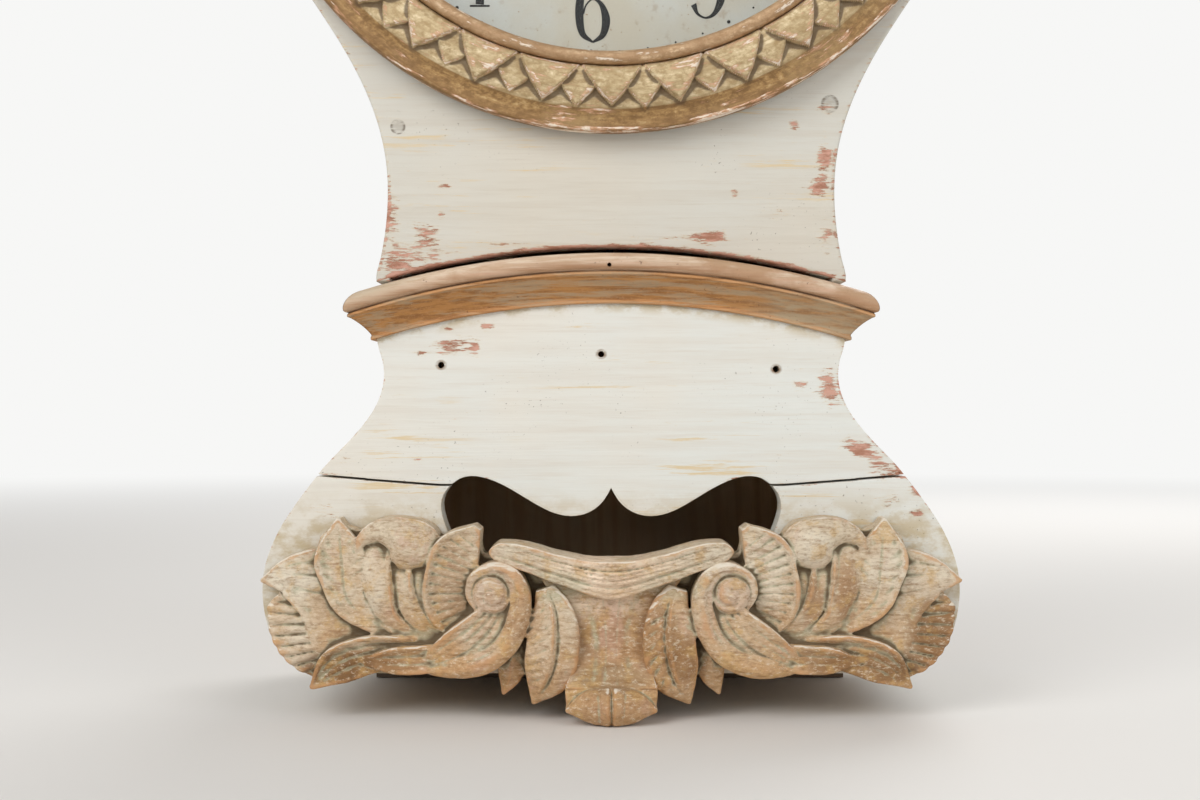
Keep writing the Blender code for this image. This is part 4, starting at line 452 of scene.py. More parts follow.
def carvedWood(name):
    material = startFinish(name)
    hollow = marked("hollow")
    broad = cloud(26, 5, 0.6, shift=(4, 4, 1))
    fibre = cloud((85, 420, 520), 6, 0.7, turn=(0.0, 0.1, 0.0))  # the grain lies along the front
    grit = cloud((300, 560, 620), 5, 0.74)
    patch = cloud(60, 6, 0.68, shift=(1, 6, 2))
    ochre = cloud(95, 6, 0.7, shift=(8, 2, 5))
    level = plus(times(axis("Z"), 7.0), times(broad, 1.6))
    colour = coat(carved["lower"], carved["upper"], level, 0.85, 1.5)
    colour = coat(colour, carved["pink"], patch, 0.52, 0.66, 0.5)
    place = here()
    bothSides = add("VectorMath", {0: place}, operation="ABSOLUTE").outputs[0]
    uneven = fade(broad, 0.36, 0.6, 0.55, 1.0)
    for hue, side, x, z, reachX, reachZ, share in carved["hues"]:
        away = nearTo(place if side else bothSides, x * (side or 1), z, reachX, reachZ)
        colour = mixTones(times(fade(away, 1.1, 0.55, 0.0, share), uneven), colour, carved[hue])
    colour = coat(colour, carved["ochre"], ochre, 0.5, 0.64, 0.55)
    # thin grey-green left where a cloth doesn't reach
    kept = plus(times(hollow, 0.5), patch)
    colour = coat(colour, carved["green"], kept, 0.54, 0.78, 0.75)
    colour = coat(colour, carved["dark"], fibre, 0.46, 0.68, 0.6)
    colour = coat(colour, carved["dark"], grit, 0.5, 0.68, 0.42)
    colour = coat(colour, carved["pale"], grit, 0.48, 0.34, 0.6)
    rim = fade(hollow, -0.25, -0.95)
    worn = times(rim, fade(patch, 0.38, 0.62, 0.15, 1.0))
    colour = coat(colour, carved["rubbed"], worn, 0.1, 0.9, 0.6)
    # pale chalk along the grain, and a painted highlight on the rims that face up
    highlitTopRims = times(rim, fade(marked("upward"), 0.0, 0.6, 0.1, 0.42))
    colour = coat(colour, carved["chalk"], plus(highlitTopRims, fibre), 0.74, 0.92, 0.8)
    # dirt and painted shade darken the hollows of the carving
    shade("Base Color", coat(colour, carved["soil"], plus(hollow, times(broad, 0.2)), 0.34, 1.0, 0.85))
    shade("Roughness", fade(fibre, 0.3, 0.7, 0.62, 0.84))
    shade("Specular IOR Level", 0.22)
    relief(plus(fibre, times(grit, 0.7)), 0.8, 0.0010)
    return material


carvedFinish = carvedWood("carvedSoftwood")

# bare wood inside and behind the case
pine = {
    "bare": palette(pale=(216, 184, 142), dark=(180, 142, 100), aged=(186, 158, 122), dust=(158, 142, 120)),
    # the second set is darkened pine for the rear rail, a painted shade that sinks it into the shadow under the case
    "shadowDark": palette(pale=(104, 84, 64), dark=(70, 54, 40), aged=(86, 70, 54), dust=(96, 86, 74)),
    "ring": 0.013, "sway": 58.0, "fineness": 42,
}


def barePine(name, tones, across, broadly):
    material = startFinish(name)
    sway = times(cloud(broadly, 2.5, 0.45), pine["sway"])
    ring = calc("SINE", plus(times(axis(across), 2 * math.pi / pine["ring"]), sway))
    fibre = cloud(tuple(c * pine["fineness"] for c in broadly), 5, 0.7)
    colour = coat(tones["pale"], tones["aged"], cloud(broadly, 2, shift=(3, 5, 1)), 0.36, 0.64)
    late = times(fade(ring, 0.0, 0.95), fade(fibre, 0.7, 0.4, 0.2, 0.65))
    late = times(late, fade(cloud(broadly, 3, shift=(7, 2, 9)), 0.38, 0.6, 0.2, 1.0))  # clear and faint years
    colour = mixTones(late, colour, tones["dark"])
    colour = coat(colour, tones["dark"], fibre, 0.5, 0.72, 0.5)
    shade("Base Color", coat(colour, tones["dust"], cloud(7, 4), 0.42, 0.7, 0.6))
    shade("Roughness", fade(fibre, 0.3, 0.7, 0.62, 0.86))
    relief(plus(fibre, times(ring, 0.12)), 0.5, 0.0005)
    return material


uprightPine = barePine("pineUpright", pine["bare"], "X", (9, 9, 0.9))
levelPine = barePine("pineLevel", pine["bare"], "Y", (0.9, 9, 9))
shadowDarkPine = barePine("pineShadowDark", pine["shadowDark"], "Y", (0.9, 9, 9))

# movement metals
metals = {
    "clockBrass": {"base": tone(206, 164, 88), "aged": tone(140, 102, 52), "rough": (0.24, 0.46), "metal": 1.0},
    "clockSteel": {"base": tone(160, 162, 166), "aged": tone(98, 94, 92), "rough": (0.24, 0.5), "metal": 1.0},
    "darkIron": {"base": tone(44, 42, 42), "aged": tone(78, 58, 44), "rough": (0.4, 0.65), "metal": 0.7},
}


def workedMetal(name):
    values = metals[name]
    material = startFinish(name)
    stain = cloud(90, 5, 0.6)
    scratch = cloud((160, 900, 900), 4, 0.7)
    colour = coat(values["base"], values["aged"], stain, 0.42, 0.68)
    shade("Base Color", coat(colour, values["aged"], scratch, 0.55, 0.75, 0.4))
    shade("Roughness", fade(plus(times(stain, 0.6), times(scratch, 0.4)), 0.35, 0.65, *values["rough"]))
    shade("Metallic", values["metal"])
    relief(scratch, 0.2, 0.0002)
    return material


brass, steel, iron = (workedMetal(name) for name in metals)

# dial paint and its numbers
dialTones = palette(ground=(192, 197, 193), warm=(188, 183, 166), stain=(150, 124, 92), ink=(14, 14, 16),
                    inkWorn=(36, 36, 38))


def dialPaint(name):
    material = startFinish(name)
    broad = cloud(14, 4)
    mottle = cloud(120, 5, 0.65)
    colour = coat(dialTones["ground"], dialTones["warm"], broad, 0.38, 0.66)
    colour = coat(colour, dialTones["stain"], mottle, 0.58, 0.72, 0.4)
    spots = times(fade(cloud(420, 2), 0.69, 0.73), fade(broad, 0.4, 0.55))
    shade("Base Color", mixTones(spots, colour, dialTones["stain"]))
    shade("Roughness", fade(mottle, 0.3, 0.7, 0.38, 0.6))
    relief(mottle, 0.25, 0.0003)
    return material


def dialInk(name):
    material = startFinish(name)
    rub = cloud(300, 5, 0.7)
    shade("Base Color", coat(dialTones["ink"], dialTones["inkWorn"], rub, 0.55, 0.75))
    shade("Roughness", fade(rub, 0.3, 0.7, 0.4, 0.65))
    shade("Specular IOR Level", 0.12)
    return material


def oldGlass(name):
    material = startFinish(name)
    dust = cloud(260, 5, 0.7)
    shade("Base Color", (0.86, 0.9, 0.88, 1.0))
    shade("Roughness", fade(dust, 0.45, 0.8, 0.02, 0.14))
    shade("Alpha", fade(dust, 0.55, 0.8, 0.02, 0.06))
    shade("IOR", 1.5)
    shade("Specular IOR Level", 0.12)
    relief(cloud(30, 2), 0.1, 0.0006)
    return material


dialFinish, inkFinish, glassFinish = dialPaint("dialPaint"), dialInk("dialInk"), oldGlass("oldGlass")
print("finishes ready")


def mergedCopy(node):
    bm = bmesh.new()
    bm.from_mesh(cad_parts[node].data)
    bmesh.ops.remove_doubles(bm, verts=bm.verts, dist=weld)
    return bm


def newVerts(made):
    return [g for g in made["geom"] if isinstance(g, bmesh.types.BMVert)]


def everything(bm):
    return bm.verts[:] + bm.edges[:] + bm.faces[:]


def makePiece(name, mesh, finishes, body, nodes=(), crease=34.0):
    piece = bpy.data.objects.new(name, mesh)
    scene.collection.objects.link(piece)
    for finish in finishes:
        mesh.materials.append(finish)
    mesh.shade_smooth()
    mesh.set_sharp_from_angle(angle=math.radians(crease))
    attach(piece, body)
    if nodes:
        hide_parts(*nodes)


def readVerts(mesh, key):
    values = np.empty(len(mesh.vertices) * 3)
    mesh.vertices.foreach_get(key, values)
    return values.reshape(-1, 3)


def writeMarks(mesh, name, values):
    mesh.attributes.new(name, "FLOAT", "POINT").data.foreach_set("value", values.astype(np.float32))


# distance from an axis through the front: 0 at the inner radius, 1 a width further out
def markRadius(mesh, name, height, inner, width):
    at = readVerts(mesh, "co")
    writeMarks(mesh, name, (np.hypot(at[:, 0], at[:, 2] - height) / mm - inner) / width)


# how far a surface lies below its smoothed self: hollows above 0, edges below 0
def markHollows(mesh, rounds, reach):
    at, normal, count = readVerts(mesh, "co"), readVerts(mesh, "normal"), len(mesh.vertices)
    pairs = np.empty(len(mesh.edges) * 2, dtype=np.int32)
    mesh.edges.foreach_get("vertices", pairs)
    first, second = pairs.reshape(-1, 2).T
    degree = np.bincount(first, minlength=count) + np.bincount(second, minlength=count)
    soft = at.copy()
    for _ in range(rounds):
        total = np.stack([np.bincount(first, soft[second, k], count) + np.bincount(second, soft[first, k], count)
                          for k in range(3)], axis=1)
        soft = total / np.maximum(degree, 1)[:, None]
    depth = np.clip(((soft - at) * normal).sum(axis=1) / reach, -1.0, 1.0)
    writeMarks(mesh, "hollow", depth)
    writeMarks(mesh, "upward", normal[:, 2])


# boards are cut again from the outline of their CAD node, with finer curves and worn edges
def frontLoops(node):
    bm = mergedCopy(node)
    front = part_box(node)[0].y
    faces = {f.index for f in bm.faces if f.normal.y < -0.99 and abs(f.calc_center_median().y - front) < 0.2 * mm}
    edges = [e for e in bm.edges if sum(f.index in faces for f in e.link_faces) == 1]
    loops = []
    while edges:
        edge = edges.pop()
        chain = [edge.verts[0], edge.verts[1]]
        while True:
            following = next((e for e in edges if chain[-1] in e.verts), None)
            if following is None:
                break
            edges.remove(following)
            chain.append(following.other_vert(chain[-1]))
        loops.append([Vector((v.co.x, v.co.z)) for v in chain[:-1]])
    bm.free()
    return loops


longRun = 28 * mm  # edges from here on count as straight
arrisTurn = 0.6  # edges that turn more than this are rounded
holeSides = 18


def softenLoop(points, step, corner):
    count = len(points)
    runs = [points[(i + 1) % count] - points[i] for i in range(count)]
    turns = [runs[i - 1].angle(runs[i]) for i in range(count)]
    lines = []
    for i in range(count):
        before, after = runs[i - 1], runs[i]
        if max(before.length, after.length) > longRun:
            lines.append((before if before.length > after.length else after).normalized())
        else:
            lines.append((before.normalized() * after.length + after.normalized() * before.length).normalized())
    fine = []
    for i in range(count):
        j = (i + 1) % count
        length = runs[i].length
        leave = lines[i] if turns[i] < corner else runs[i].normalized()
        reach = lines[j] if turns[j] < corner else runs[i].normalized()
        pieces = max(1, round(length / step))
        for k in range(pieces):
            t = k / pieces
            fine.append(points[i] * (2 * t ** 3 - 3 * t ** 2 + 1) + points[j] * (3 * t ** 2 - 2 * t ** 3)
                        + leave * length * (t ** 3 - 2 * t ** 2 + t) + reach * length * (t ** 3 - t ** 2))
    return fine


joint = {"height": 119.5, "reach": 20, "level": 18.5, "from": 90, "flank": 130, "slide": 0.85, "tilt": 0.075}


# the joint between the boards runs up towards the flanks, and its outer corners slide along them
def tiltJoint(loops):
    for p in (p for loop in loops for p in loop):
        near = (joint["reach"] * mm - abs(p.y - joint["height"] * mm)) / (joint["level"] * mm)
        lift = joint["tilt"] * max(abs(p.x) - joint["from"] * mm, 0.0) * min(max(near, 0.0), 1.0)
        p.y += lift
        if abs(p.x) > joint["flank"] * mm:
            p.x -= math.copysign(joint["slide"] * lift, p.x)


def cutBoard(node, settings):
    low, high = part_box(node)
    loops = [softenLoop(loop, settings["step"] * mm, math.radians(settings["corner"])) for loop in frontLoops(node)]
    for x, z, radius in settings.get("holes", ()):
        loops.append([Vector((x * mm + radius * mm * math.sin(a), z * mm + radius * mm * math.cos(a)))
                      for a in np.linspace(0, 2 * math.pi, holeSides, endpoint=False)])
    if settings.get("jointed"):
        tiltJoint(loops)
    bm = bmesh.new()
    for loop in loops:
        verts = [bm.verts.new((p.x, low.y, p.y)) for p in loop]
        for a, b in zip(verts, verts[1:] + verts[:1]):
            bm.edges.new((a, b))
    bmesh.ops.triangle_fill(bm, use_beauty=True, edges=bm.edges[:], normal=(0, -1, 0))
    made = bmesh.ops.extrude_face_region(bm, geom=bm.faces[:])
    bmesh.ops.translate(bm, vec=(0, high.y - low.y, 0), verts=newVerts(made))
    bmesh.ops.recalc_face_normals(bm, faces=bm.faces)
    arris = [e for e in bm.edges if e.is_manifold and e.calc_face_angle() > arrisTurn
             and all(v.co.y < low.y + 0.1 * mm for v in e.verts)]
    bmesh.ops.bevel(bm, geom=arris, offset=settings["edge"] * mm, segments=3, profile=0.5, affect="EDGES",
                    material=-1, clamp_overlap=True)
    wear = bm.verts.layers.float.new("wear")
    for v in bm.verts:
        v[wear] = 1.0 if v.co.y < low.y + 3 * settings["edge"] * mm else 0.3
    face = [f for f in bm.faces if f.normal.y < -0.99 and f.calc_center_median().y < low.y + 0.1 * mm]
    bmesh.ops.inset_region(bm, faces=face, thickness=settings["inset"] * mm, use_even_offset=False, use_boundary=True)
    for v in (v for f in face for v in f.verts):
        v[wear] = settings["faceWear"]
    for f in bm.faces:
        f.material_index = int(settings["inside"](f))
    return bm


def backFace(f):
    return f.normal.y > 0.9


def innerFlank(f):
    return f.normal.x * f.calc_center_median().x < 0 or f.normal.y > 0.9


def innerRim(f):
    middle = f.calc_center_median() - Vector((0, 0, headHeight))
    return f.normal.x * middle.x + f.normal.z * middle.z < 0 or f.normal.y > 0.9


frontBoard = {"step": 3.0, "corner": 28, "edge": 1.2, "inset": 1.3, "faceWear": 0.0, "inside": backFace}
baseFront = {**frontBoard, "body": "root", "finish": frontPaint, "jointed": True}
sideBoard = {"finish": sidePaint, "step": 2.5, "corner": 40, "edge": 0.6, "inset": 0.6, "faceWear": 0.5,
             "inside": innerFlank}
boards = {
    "hood_front_board": {**frontBoard, "body": "hood", "finish": hoodPaintShaded, "edge": 1.3},
    "base_front_upper": {**baseFront, "holes": paint["holes"]},
    "base_front_lower": baseFront,
    "hood_side_left": {**sideBoard, "body": "hood"},
    "hood_side_right": {**sideBoard, "body": "hood"},
    "base_side_left": {**sideBoard, "body": "root"},
    "base_side_right": {**sideBoard, "body": "root"},
    "hood_rim": {**sideBoard, "body": "hood", "inside": innerRim},
}
for node, settings in boards.items():
    made = toMesh("cut_" + node, cutBoard(node, settings))
    makePiece("cut_" + node, made, (settings["finish"], uprightPine), settings["body"], (node,))
print("boards cut")


# arched moulding: lip, cove, fillet, groove and flattened bead, (projection, height)
moulding = {
    "section": [
        (0, 0), (2.2, 0), (2.7, 0.5), (2.7, 1.7), (2.3, 2.2), (2.4, 2.8), (3.3, 4.2), (4.4, 5.7), (5.6, 7.2),
        (6.8, 8.6), (8.1, 10.0), (9.4, 11.3), (10.7, 12.5), (11.8, 13.5), (12.7, 14.2), (13.2, 14.4), (13.5, 14.8),
        (13.5, 15.7), (13.2, 16.1), (12.8, 16.3), (12.8, 16.7), (13.7, 16.9), (14.7, 17.4), (15.3, 18.2),
        (15.5, 19.2), (15.4, 20.4), (15.0, 21.6), (14.2, 22.9), (13.0, 24.1), (11.4, 25.1), (9.6, 25.7),
        (7.6, 26.0), (0, 26.0),
    ],
    "middle": 240.4 - 440.0, "inner": 440.0 - 26.0, "height": 26.0,  # centre of the arch and radius of its foot
    "half": 122.5, "back": -60.3, "front": -90.0, "rear": 92.7, "sweep": 21.5, "steps": 110,
    "sideGap": 0.3, "mitreGap": 0.75,
    "hole": (-1.0, 233.7, 1.1, 14.0), "holeFront": 18.0,  # nail hole: x, z, radius, depth
}


def sectionRing(bm, points):
    verts = [bm.verts.new(p) for p in points]
    return verts, [bm.edges.new((a, b)) for a, b in zip(verts, verts[1:] + verts[:1])]


def evaluated(blank):
    made = bpy.data.meshes.new_from_object(blank.evaluated_get(bpy.context.evaluated_depsgraph_get()))
    made.name = blank.name
    return made


facing = Matrix.Rotation(math.radians(90), 4, "X")  # turns an upright axis to the front


def drill(mesh, hole):
    x, z, radius, depth = (c * mm for c in hole)
    bm = bmesh.new()
    at = Matrix.Translation((x, (moulding["back"] - moulding["holeFront"]) * mm + depth / 2, z)) @ facing
    bmesh.ops.create_cone(bm, cap_ends=True, segments=20, radius1=radius, radius2=radius, depth=depth, matrix=at)
    bit = bpy.data.objects.new("drillBit", toMesh("drillBit", bm))
    blank = bpy.data.objects.new(mesh.name, mesh)
    for thing in (bit, blank):
        scene.collection.objects.link(thing)
    cut = blank.modifiers.new("cut", "BOOLEAN")
    cut.object, cut.operation, cut.solver = bit, "DIFFERENCE", "EXACT"
    made = evaluated(blank)
    for thing in (bit, blank):
        bpy.data.objects.remove(thing)
    return made


def extrudeTo(bm, edges, y):
    for v in newVerts(bmesh.ops.extrude_edge_only(bm, edges=edges)):
        v.co.y = y


def mitre(bm, side, half, **cleared):
    bmesh.ops.bisect_plane(bm, geom=everything(bm), plane_co=(side * half * mm, moulding["back"] * mm, 0),
                           plane_no=(side, 1, 0), **cleared)


def finishMoulding(name, bm, finish, node, hole=None):
    bmesh.ops.holes_fill(bm, edges=bm.edges[:], sides=0)
    bmesh.ops.recalc_face_normals(bm, faces=bm.faces)
    mesh = toMesh(name, bm)
    if hole:
        mesh = drill(mesh, hole)
    markRadius(mesh, "band", moulding["middle"] * mm, moulding["inner"], moulding["height"])
    makePiece(name, mesh, (finish,), "root", (node,))


middle, inner, half = moulding["middle"], moulding["inner"], moulding["half"]
reach = math.radians(moulding["sweep"])
bm = bmesh.new()
verts, edges = sectionRing(bm, [((inner + h) * math.sin(-reach) * mm, (moulding["back"] - p) * mm,
                                 (middle + (inner + h) * math.cos(-reach)) * mm) for p, h in moulding["section"]])
bmesh.ops.spin(bm, geom=verts + edges, cent=(0, 0, middle * mm), axis=(0, 1, 0), angle=2 * reach,
               steps=moulding["steps"])
for side in (-1, 1):
    mitre(bm, side, half, clear_outer=True)
finishMoulding("shoulderMouldingFront", bm, frontMouldGilding, "shoulder_moulding_front", moulding["hole"])
for side, name in ((-1, "left"), (1, "right")):
    bm = bmesh.new()
    verts, edges = sectionRing(bm, [(side * (half + p + moulding["sideGap"]) * mm, moulding["front"] * mm,
                                     (middle + math.sqrt((inner + h) ** 2 - (half + p) ** 2)) * mm)
                                    for p, h in moulding["section"]])
    extrudeTo(bm, edges, moulding["rear"] * mm)
    mitre(bm, side, half + moulding["mitreGap"], clear_inner=True)
    finishMoulding("shoulderMoulding_" + name, bm, sideMouldGilding, "shoulder_moulding_" + name)
print("moulding run")


# bezel ring with two rows of pointed leaves; radial distances in millimetres from the inner edge
bezel = {
    "centre": (0, 0, headHeight), "inner": 162.0, "outer": 195.0, "back": -64.0, "leaves": 32, "steps": 44,
    "ground": [(0, 15), (0.6, 16.5), (4, 16.5), (12, 15.8), (20, 14.6), (22, 13.2), (24.5, 11.8),
               (27, 11.1), (29.5, 11.0), (30.6, 11.2), (31.4, 11.7), (32.1, 11.6), (32.7, 10.6), (33, 9.0)],
    "leafTop": [(0, 18), (1.2, 21), (5, 22.8), (12, 22.4), (21, 19.8)],
    "leafLength": 21.0, "underLength": 21.6, "underShare": 0.5, "chamfer": 1.5, "rim": 4.0, "rearChamfer": 0.8,
    "wander": 0.015, "lengthPlay": 0.04, "carvedFrom": 9.5, "softRounds": 10, "softReach": 0.5,
}


def ringProfile():
    places = np.concatenate([np.arange(0, 22.4, 0.75), np.linspace(22.8, 33, 16)])
    heights = np.interp(places, *zip(*bezel["ground"]))
    return [(bezel["inner"] + s, bezel["back"] - h) for s, h in zip(places, heights)] + [
        (bezel["outer"], bezel["back"] - bezel["rim"]), (bezel["outer"] - bezel["rearChamfer"], bezel["back"]),
        (bezel["inner"], bezel["back"])]


# one sector is spun, then repeated round the axis
def spinRing(name, profile, sectors, steps):
    bm = bmesh.new()
    verts, edges = sectionRing(bm, [(r * mm, y * mm, headHeight) for r, y in profile])
    sector = 2 * math.pi / sectors
    bmesh.ops.spin(bm, geom=verts + edges, cent=bezel["centre"], axis=(0, 1, 0), angle=sector, steps=steps)
    bmesh.ops.spin(bm, geom=everything(bm), cent=bezel["centre"], axis=(0, 1, 0), angle=2 * math.pi - sector,
                   steps=sectors - 1, use_duplicate=True)
    bmesh.ops.remove_doubles(bm, verts=bm.verts, dist=weld)
    bmesh.ops.recalc_face_normals(bm, faces=bm.faces)
    return toMesh(name, bm)


def carveLeaves(mesh):
    at = readVerts(mesh, "co")
    across, up = at[:, 0] / mm, (at[:, 2] - headHeight) / mm
    radius, angle = np.hypot(across, up), np.arctan2(across, -up)
    s = radius - bezel["inner"]
    ground = np.interp(s, *zip(*bezel["ground"]))
    top = np.interp(s, *zip(*bezel["leafTop"]))
    pitch = 2 * math.pi / bezel["leaves"]
    rise, edge = np.zeros(len(at)), np.zeros(len(at))
    for shift, length, share in ((0.0, bezel["leafLength"], 1.0), (0.5, bezel["underLength"], bezel["underShare"])):
        turn = angle / pitch + shift
        index = np.floor(turn + 0.5)
        jitter = np.sin(index * 12.9898 + share * 78.233) * 43758.5453
        jitter = (jitter - np.floor(jitter)) * 2 - 1  # steady per leaf
        side = (turn - index + bezel["wander"] * jitter) * pitch * radius
        reachOut = np.clip(s / (length * (1 + bezel["lengthPlay"] * jitter)), 0, 1)
        if share == 1.0:
            half = pitch * radius * 0.5 * (1 - reachOut ** 1.25)
        else:  # square tips that look out from under the leaves
            half = np.clip((1 - reachOut) * length * 0.95, 0, pitch * radius * 0.48)
        inside = np.clip((half - np.abs(side)) / bezel["chamfer"], 0, 1)
        q = np.clip(np.abs(side) / np.maximum(half, 0.5), 0, 1)
        face = 1.1 * q ** 3 * (1 - 0.6 * reachOut) + (0.05 * side + 0.25) * jitter - 0.7
        lift = inside ** 0.8 * np.maximum((top - ground) * share + face, 0.3) * (s < length * 1.05)
        edge = np.where(lift > rise, 4 * inside * (1 - inside), edge)
        rise = np.maximum(rise, lift)
    writeMarks(mesh, "edge", edge)
    front = at[:, 1] < (bezel["back"] - bezel["carvedFrom"]) * mm
    at[:, 1] -= np.where(front, rise, 0.0) * mm
    mesh.vertices.foreach_set("co", at.ravel())
    mesh.update()


ring = spinRing("bezelLeafRing", ringProfile(), bezel["leaves"], bezel["steps"])
markRadius(ring, "zone", headHeight, bezel["inner"], bezel["outer"] - bezel["inner"])
carveLeaves(ring)
markHollows(ring, bezel["softRounds"], bezel["softReach"] * mm)
makePiece("bezelLeafRing", ring, (leafGilding,), "bezel_door", ("bezel_ring",), crease=60)

bead = {"inner": 154.5, "outer": 161.7, "round": 3.6, "front": -86.0, "seat": -70.0, "rebate": 158.3, "sectors": 16,
        "steps": 20, "unevenFrom": -78.0, "uneven": 0.25, "waves": 45}
crown = [(bead["inner"] + bead["round"] * (1 + math.cos(a)), bead["front"] + bead["round"] * (1 - math.sin(a)))
         for a in np.linspace(0, math.pi, 15)]
section = [(bead["outer"], bezel["back"])] + crown + [
    (bead["inner"], bead["seat"]), (bead["rebate"], bead["seat"]), (bead["rebate"], bezel["back"])]
beadRing = spinRing("bezelBead", section, bead["sectors"], bead["steps"])
for v in beadRing.vertices:  # hand-turned unevenness
    if v.co.y < bead["unevenFrom"] * mm:
        v.co += v.normal * (noise.noise(v.co * bead["waves"]) * bead["uneven"] * mm)
makePiece("bezelBead", beadRing, (beadGilding,), "bezel_door", ("bezel_bead",), crease=50)
print("bezel turned")


# carving: each leaf is a grid bent along its spine, closed to the board and fused into one skin
def tracePath(points, samples=160):
    points = [np.array(p, float) for p in points]
    ends = [2 * points[0] - points[1]] + points + [2 * points[-1] - points[-2]]
    fine = []
    for a, b, c, d in zip(ends, ends[1:], ends[2:], ends[3:]):
        for t in np.linspace(0, 1, 24, endpoint=False):
            fine.append(0.5 * (2 * b + (c - a) * t + (2 * a - 5 * b + 4 * c - d) * t ** 2
                               + (3 * b - a - 3 * c + d) * t ** 3))
    fine = np.array(fine + [points[-1]])
    length = np.concatenate([[0], np.cumsum(np.linalg.norm(np.diff(fine[:, :2], axis=0), axis=1))])
    even = np.linspace(0, length[-1], samples)
    return np.stack([np.interp(even, length, fine[:, k]) for k in range(fine.shape[1])], axis=1)


def flow(values, u):
    row = tracePath([(i, v) for i, v in enumerate(values)], 200)
    return np.interp(u * (len(values) - 1), row[:, 0], row[:, 1])


carving = {"board": -60.3, "voxel": 0.8, "fineVoxel": 0.6, "ribWidth": 0.13, "rimWidth": 1.4, "narrowest": 0.4,
           "broadMarks": (70, 0.35), "fineMarks": (260, 0.14),  # tool marks: waves to the metre, depth
           "softRounds": 24, "softReach": 0.9}
boardY = carving["board"] * mm


def closeToBoard(bm):
    extrudeTo(bm, [e for e in bm.edges if e.is_boundary], boardY)
    bmesh.ops.holes_fill(bm, edges=[e for e in bm.edges if e.is_boundary], sides=0)


def carveLeaf(bm, leaf, side):
    rows, columns = leaf.get("grid", (70, 22))
    made = bmesh.ops.create_grid(bm, x_segments=rows, y_segments=columns, size=1.0)["verts"]
    u = np.array([(v.co.x + 1) / 2 for v in made])
    v = np.array([w.co.y for w in made])
    knotX, knotZ, half, proud = zip(*leaf["knots"])
    spine = tracePath(list(zip(knotX, knotZ)))
    run = np.linspace(0, 1, len(spine))
    direction = np.gradient(spine, axis=0)
    direction /= np.linalg.norm(direction, axis=1)[:, None]
    px, pz = np.interp(u, run, spine[:, 0]), np.interp(u, run, spine[:, 1])
    tx, tz = np.interp(u, run, direction[:, 0]), np.interp(u, run, direction[:, 1])
    wide = np.maximum(flow(half, u), carving["narrowest"])
    if "round" in leaf:
        ends = np.sqrt(np.clip(np.minimum(u, 1 - u) / leaf["round"], 0, 1))
        wide = np.maximum(wide * ends, carving["narrowest"])
    share = wide / max(half)
    count, depth = leaf.get("lobes", (0, 0))
    lobes = 1 + depth * np.abs(np.sin(u * math.pi * count))
    edge = np.abs(v)
    x, z = px - tz * v * wide * lobes, pz + tx * v * wide * lobes
    up = flow(proud, u) + leaf.get("cup", 0) * v ** 2 * share + leaf.get("tilt", 0) * v * share
    up += leaf.get("rib", 0) * np.exp(-(v / carving["ribWidth"]) ** 2) * share
    low, high = leaf.get("rims", (0, 0))  # raised edges, to the right and left of the way the spine runs
    thick = np.clip(carving["rimWidth"] / wide, 0.12, 0.3)
    up += (low * np.exp(-((v + 1 - thick) / thick) ** 2) + high * np.exp(-((v - 1 + thick) / thick) ** 2)) * share
    count, depth, slant = leaf.get("veins", (0, 0, 0))
    if count:
        wave = np.abs(np.sin(math.pi * (u * count - slant * edge)))
        oneSide = np.clip(1 - leaf.get("veinSide", 0) * side * v * 6, 0.2, 1)
        up -= depth * (1 - wave) ** 1.4 * np.clip(edge * 2.2 - 0.15, 0, 1) * np.clip(share * 1.5, 0, 1) * oneSide
    count, depth = leaf.get("flutes", (0, 0))
    if count:
        wave = np.abs(np.sin(math.pi * u * count))
        up -= depth * (1 - wave) ** 1.6 * np.clip((v + 0.85) * 6, 0, 1) * np.clip(share * 1.5, 0, 1)
    for across, name in ((v, "grooves"), (u, "cuts")):
        for place, depth, width in leaf.get(name, ()):
            up -= depth * np.exp(-((across - place) / width) ** 2) * np.clip(share * 1.3, 0, 1)
    for vert, a, b, c in zip(made, x, up, z):
        vert.co = (side * a * mm, boardY - b * mm, c * mm)
    closeToBoard(bm)


def fuse(bm, grid):
    blank = bpy.data.objects.new("carvingBlank", toMesh("carvingBlank", bm))
    scene.collection.objects.link(blank)
    skin = blank.modifiers.new("skin", "REMESH")
    skin.mode = "VOXEL"
    skin.voxel_size = grid * mm
    fused = evaluated(blank)
    bpy.data.objects.remove(blank)
    bm = bmesh.new()
    bm.from_mesh(fused)
    bpy.data.meshes.remove(fused)
    return bm


def toolMarks(bm, seed):
    bm.normal_update()
    (broad, broadDepth), (fine, fineDepth) = carving["broadMarks"], carving["fineMarks"]
    for v in bm.verts:
        swell = noise.noise(v.co * broad + Vector((seed, 0, 0))) * broadDepth + noise.noise(v.co * fine) * fineDepth
        v.co += v.normal * swell * mm


